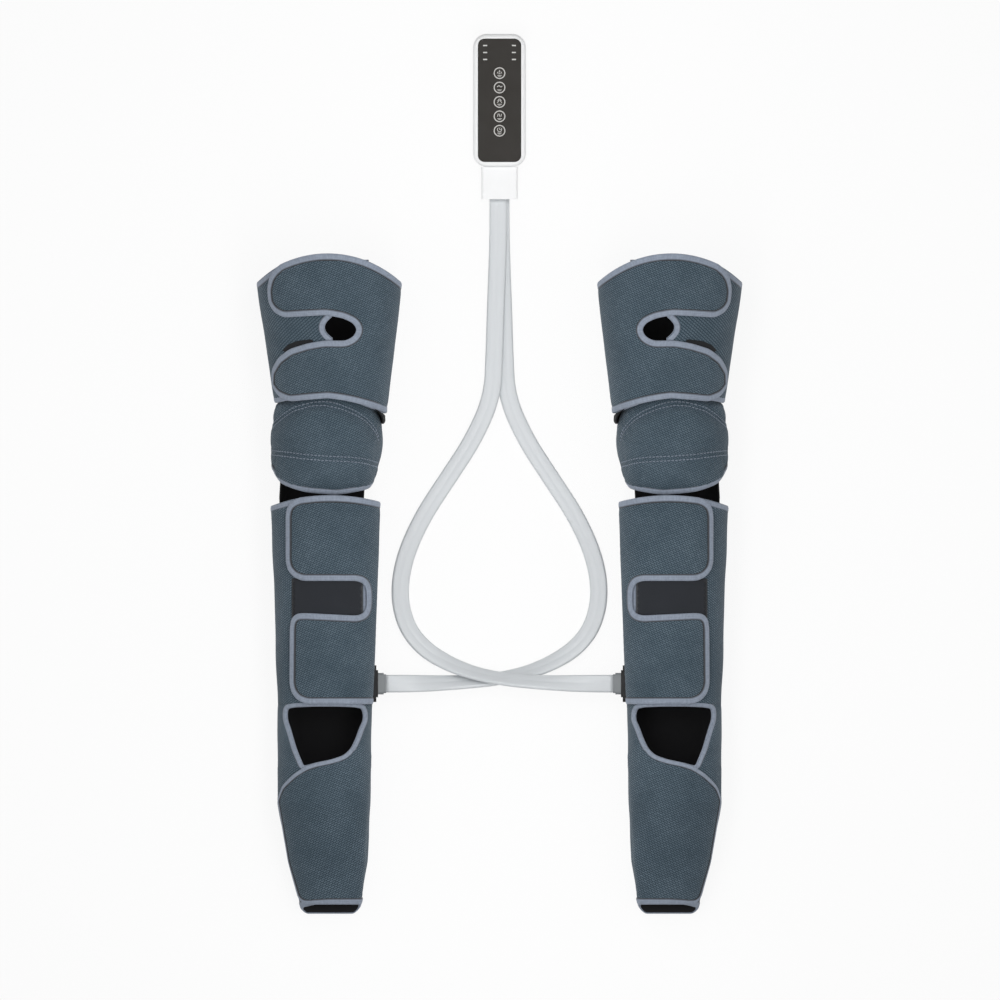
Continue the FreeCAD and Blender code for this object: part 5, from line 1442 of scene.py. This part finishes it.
def sign_bar(x, y, z, length, width, angle=0.0):
    """A flat raised bar with eased corners, in millimetres."""
    deselect()
    bpy.ops.mesh.primitive_cube_add(size=MM, location=(x * MM, y * MM, z * MM))
    bar = bpy.context.object
    bpy.ops.object.mode_set(mode="EDIT")
    bpy.ops.mesh.select_all(action="SELECT")
    bpy.ops.transform.resize(value=(length, width, SIGN_RISE))
    bpy.ops.object.mode_set(mode="OBJECT")
    bar.rotation_euler = (0, 0, math.radians(angle))
    bpy.ops.object.transform_apply(location=True, rotation=True, scale=True)
    ease = bar.modifiers.new("ease", "BEVEL")
    ease.width = 0.4 * width * MM
    ease.segments = 4
    ease.limit_method = "ANGLE"
    ease.affect = "EDGES"
    bpy.ops.object.modifier_apply(modifier="ease")
    return bar


def sign_ring(x, y, z, radius, width):
    """A flat raised ring, in millimetres."""
    deselect()
    bpy.ops.mesh.primitive_circle_add(vertices=64, radius=radius * MM, fill_type="NGON",
                                      location=(x * MM, y * MM, (z - SIGN_RISE / 2) * MM))
    ring = bpy.context.object
    bpy.ops.object.mode_set(mode="EDIT")
    bpy.ops.mesh.select_all(action="SELECT")
    bpy.ops.mesh.inset(thickness=width * MM, depth=0)
    bpy.ops.mesh.delete(type="FACE")
    bpy.ops.mesh.select_all(action="SELECT")
    bpy.ops.mesh.extrude_region_move(TRANSFORM_OT_translate={"value": (0, 0, SIGN_RISE * MM)})
    bpy.ops.mesh.select_all(action="SELECT")
    bpy.ops.mesh.normals_make_consistent(inside=False)
    bpy.ops.object.mode_set(mode="OBJECT")
    bpy.ops.object.transform_apply(location=True, rotation=True, scale=True)
    return ring


def joined(name, parts):
    """One piece out of several, at the origin."""
    deselect()
    for p in parts:
        p.select_set(True)
    bpy.context.view_layer.objects.active = parts[0]
    bpy.ops.object.join()
    whole = bpy.context.object
    whole.name = name
    whole.data.name = name
    bpy.ops.object.shade_smooth_by_angle(angle=math.radians(40))
    return whole


def button_sign(number, x, y, z):
    """The generic sign printed on one button: a ring, a small figure and two plain bars under it."""
    parts = [sign_ring(x, y, z, *SIGN_RING)]
    if number == CLOCK_SIGN:
        parts.append(sign_ring(x, y + CLOCK_UP, z - FIGURE_DROP, *CLOCK_RING))
    for dx, dy, length, width, angle in SIGN_FIGURES[number]:
        parts.append(sign_bar(x + dx, y + dy, z - FIGURE_DROP, length, width, angle))
    parts.append(sign_bar(x, y - LONG_DOWN, z - FIGURE_DROP, *LONG_BAR))
    parts.append(sign_bar(x, y - SHORT_DOWN, z - BAR_DROP, *SHORT_BAR))
    return joined("sign_%d" % (number + 1), parts)


class MASSAGER_OT_hand_control(bpy.types.Operator):
    """Finish the hand control, its buttons and signs, and the air sockets and plugs."""

    bl_idname = "massager.hand_control"
    bl_label = "Finish hand control"

    def execute(self, context):
        for name, look in CONTROL_FINISHES.items():
            dress(name, look)
        for number, name in enumerate(BUTTONS):
            dress(name, "button")
            low, high = (np.array(c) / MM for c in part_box(name))
            x, y = (low[:2] + high[:2]) / 2
            sign = button_sign(number, x, y, high[2] + SIGN_RISE / 2)
            sign.data.materials.clear()
            sign.data.materials.append(finish("print"))
            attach(sign, name)
        return {"FINISHED"}


# Soft lights: place, aim and size in metres, and share of the overhead light's strength
LIGHTS = {
    "overhead": ((0, 0.05, 1.9), (0, 0, 0), (1.8, 2.4), 1.0),
    "middle_strip": ((0, 0.0, 0.7), (0, 0, 0), (0.2, 1.8), 0.36),
    "left_strip": ((-1.7, 0.0, 0.95), (-0.2, 0, 0.03), (0.7, 2.6), 0.8),
    "right_strip": ((1.7, 0.0, 0.95), (0.2, 0, 0.03), (0.7, 2.6), 0.8),
}
CAMERA_PLACE = (0.0006, -0.0331, 3.0)
# Size of the floor and its place just under the wraps, in metres
FLOOR_SIZE, FLOOR_Z = 40, -0.0004
# How clear the floor is to light, and how bright the surround is as a light
FLOOR_CLEAR_TO_LIGHT, SURROUND_LIGHT = 0.3, 0.32


class MASSAGER_OT_stage(bpy.types.Operator):
    """Set the pale floor, the soft lights and the camera."""

    bl_idname = "massager.stage"
    bl_label = "Set stage"

    def execute(self, context):
        looks = context.scene.massager_stage
        deselect()
        bpy.ops.mesh.primitive_plane_add(size=FLOOR_SIZE, location=(0, 0, FLOOR_Z))
        floor = context.object
        floor.name = "floor"
        floor.data.materials.append(floor_finish(looks))
        for name, (place, aim, size, share) in LIGHTS.items():
            soft_light(name, place, aim, size, looks.lamp * share)
        white_world(context.scene)
        eye = bpy.data.cameras.new("camera")
        eye.type = "ORTHO"
        eye.ortho_scale = looks.view_width
        camera = bpy.data.objects.new("camera", eye)
        camera.location = CAMERA_PLACE
        context.scene.collection.objects.link(camera)
        context.scene.camera = camera
        context.scene.view_settings.view_transform = "Standard"
        return {"FINISHED"}


def floor_finish(looks):
    """Pale, partly clear floor that keeps a light shadow and lets a lowered wrap show through it."""
    mat, tree, shader = new_finish("floor")
    cloud = uneven(tree, node(tree, "ShaderNodeTexCoord").outputs["Object"], 2.0)
    fill_inputs(tree, shader, {
        "Base Color": mixed(tree, cloud, tone(looks.floor, 0.97), tone(looks.floor, 1.0)),
        "Roughness": 0.9, "Specular IOR Level": 0.1})
    clear = node(tree, "ShaderNodeBsdfTransparent")
    seen = node(tree, "ShaderNodeLightPath").outputs["Is Camera Ray"]
    share = spread(tree, seen, FLOOR_CLEAR_TO_LIGHT, looks.floor_clear)
    mix = node(tree, "ShaderNodeMixShader", {0: share, 1: shader.outputs[0], 2: clear.outputs[0]})
    tree.links.new(mix.outputs[0], tree.nodes["Material Output"].inputs["Surface"])
    return mat


def soft_light(name, place, aim, size, power):
    """A rectangular soft light."""
    lamp = bpy.data.lights.new(name, "AREA")
    lamp.shape = "RECTANGLE"
    lamp.size, lamp.size_y = size
    lamp.energy = power
    holder = bpy.data.objects.new(name, lamp)
    holder.location = place
    holder.rotation_euler = (Vector(aim) - Vector(place)).to_track_quat("-Z", "Y").to_euler()
    holder.visible_camera = False
    bpy.context.scene.collection.objects.link(holder)


def white_world(scene):
    """A white surround for what the camera, gloss and clear plastic see, and a dimmer one for light."""
    world = bpy.data.worlds.new("studio")
    world.use_nodes = True
    tree = world.node_tree
    seen = node(tree, "ShaderNodeLightPath").outputs
    any_ray = seen["Is Camera Ray"]
    for other in (seen["Is Glossy Ray"], seen["Is Transmission Ray"]):
        any_ray = node(tree, "ShaderNodeMath", {0: any_ray, 1: other}, operation="MAXIMUM").outputs[0]
    fill_inputs(tree, tree.nodes["Background"], {
        "Color": (1, 1, 1, 1), "Strength": spread(tree, any_ray, SURROUND_LIGHT, 1.0)})
    scene.world = world


class MASSAGER_PT_panel(bpy.types.Panel):
    """Lists the steps that dress the leg massager."""

    bl_idname = "MASSAGER_PT_panel"
    bl_label = "Leg massager"
    bl_space_type = "VIEW_3D"
    bl_region_type = "UI"
    bl_category = "Massager"

    def draw(self, context):
        for step in STEPS:
            self.layout.operator(step.bl_idname)


STEPS = (MASSAGER_OT_hoses, MASSAGER_OT_thigh_wraps, MASSAGER_OT_knee_pads, MASSAGER_OT_calf_wraps,
         MASSAGER_OT_loop_panels, MASSAGER_OT_ankle_gussets, MASSAGER_OT_foot_wraps,
         MASSAGER_OT_hand_control, MASSAGER_OT_stage)
GROUPS = {"massager_fabric": FabricLooks, "massager_hose": HoseLooks, "massager_handset": HandsetLooks,
          "massager_stage": StageLooks}


def register():
    for group in GROUPS.values():
        bpy.utils.register_class(group)
    for name, group in GROUPS.items():
        setattr(bpy.types.Scene, name, bpy.props.PointerProperty(type=group))
    for step in STEPS:
        bpy.utils.register_class(step)
    bpy.utils.register_class(MASSAGER_PT_panel)


def unregister():
    bpy.utils.unregister_class(MASSAGER_PT_panel)
    for step in reversed(STEPS):
        bpy.utils.unregister_class(step)
    for name, group in reversed(GROUPS.items()):
        delattr(bpy.types.Scene, name)
        bpy.utils.unregister_class(group)


def main():
    register()
    for step in STEPS:
        family, name = step.bl_idname.split(".")
        getattr(getattr(bpy.ops, family), name)()


if __name__ == "__main__":
    main()
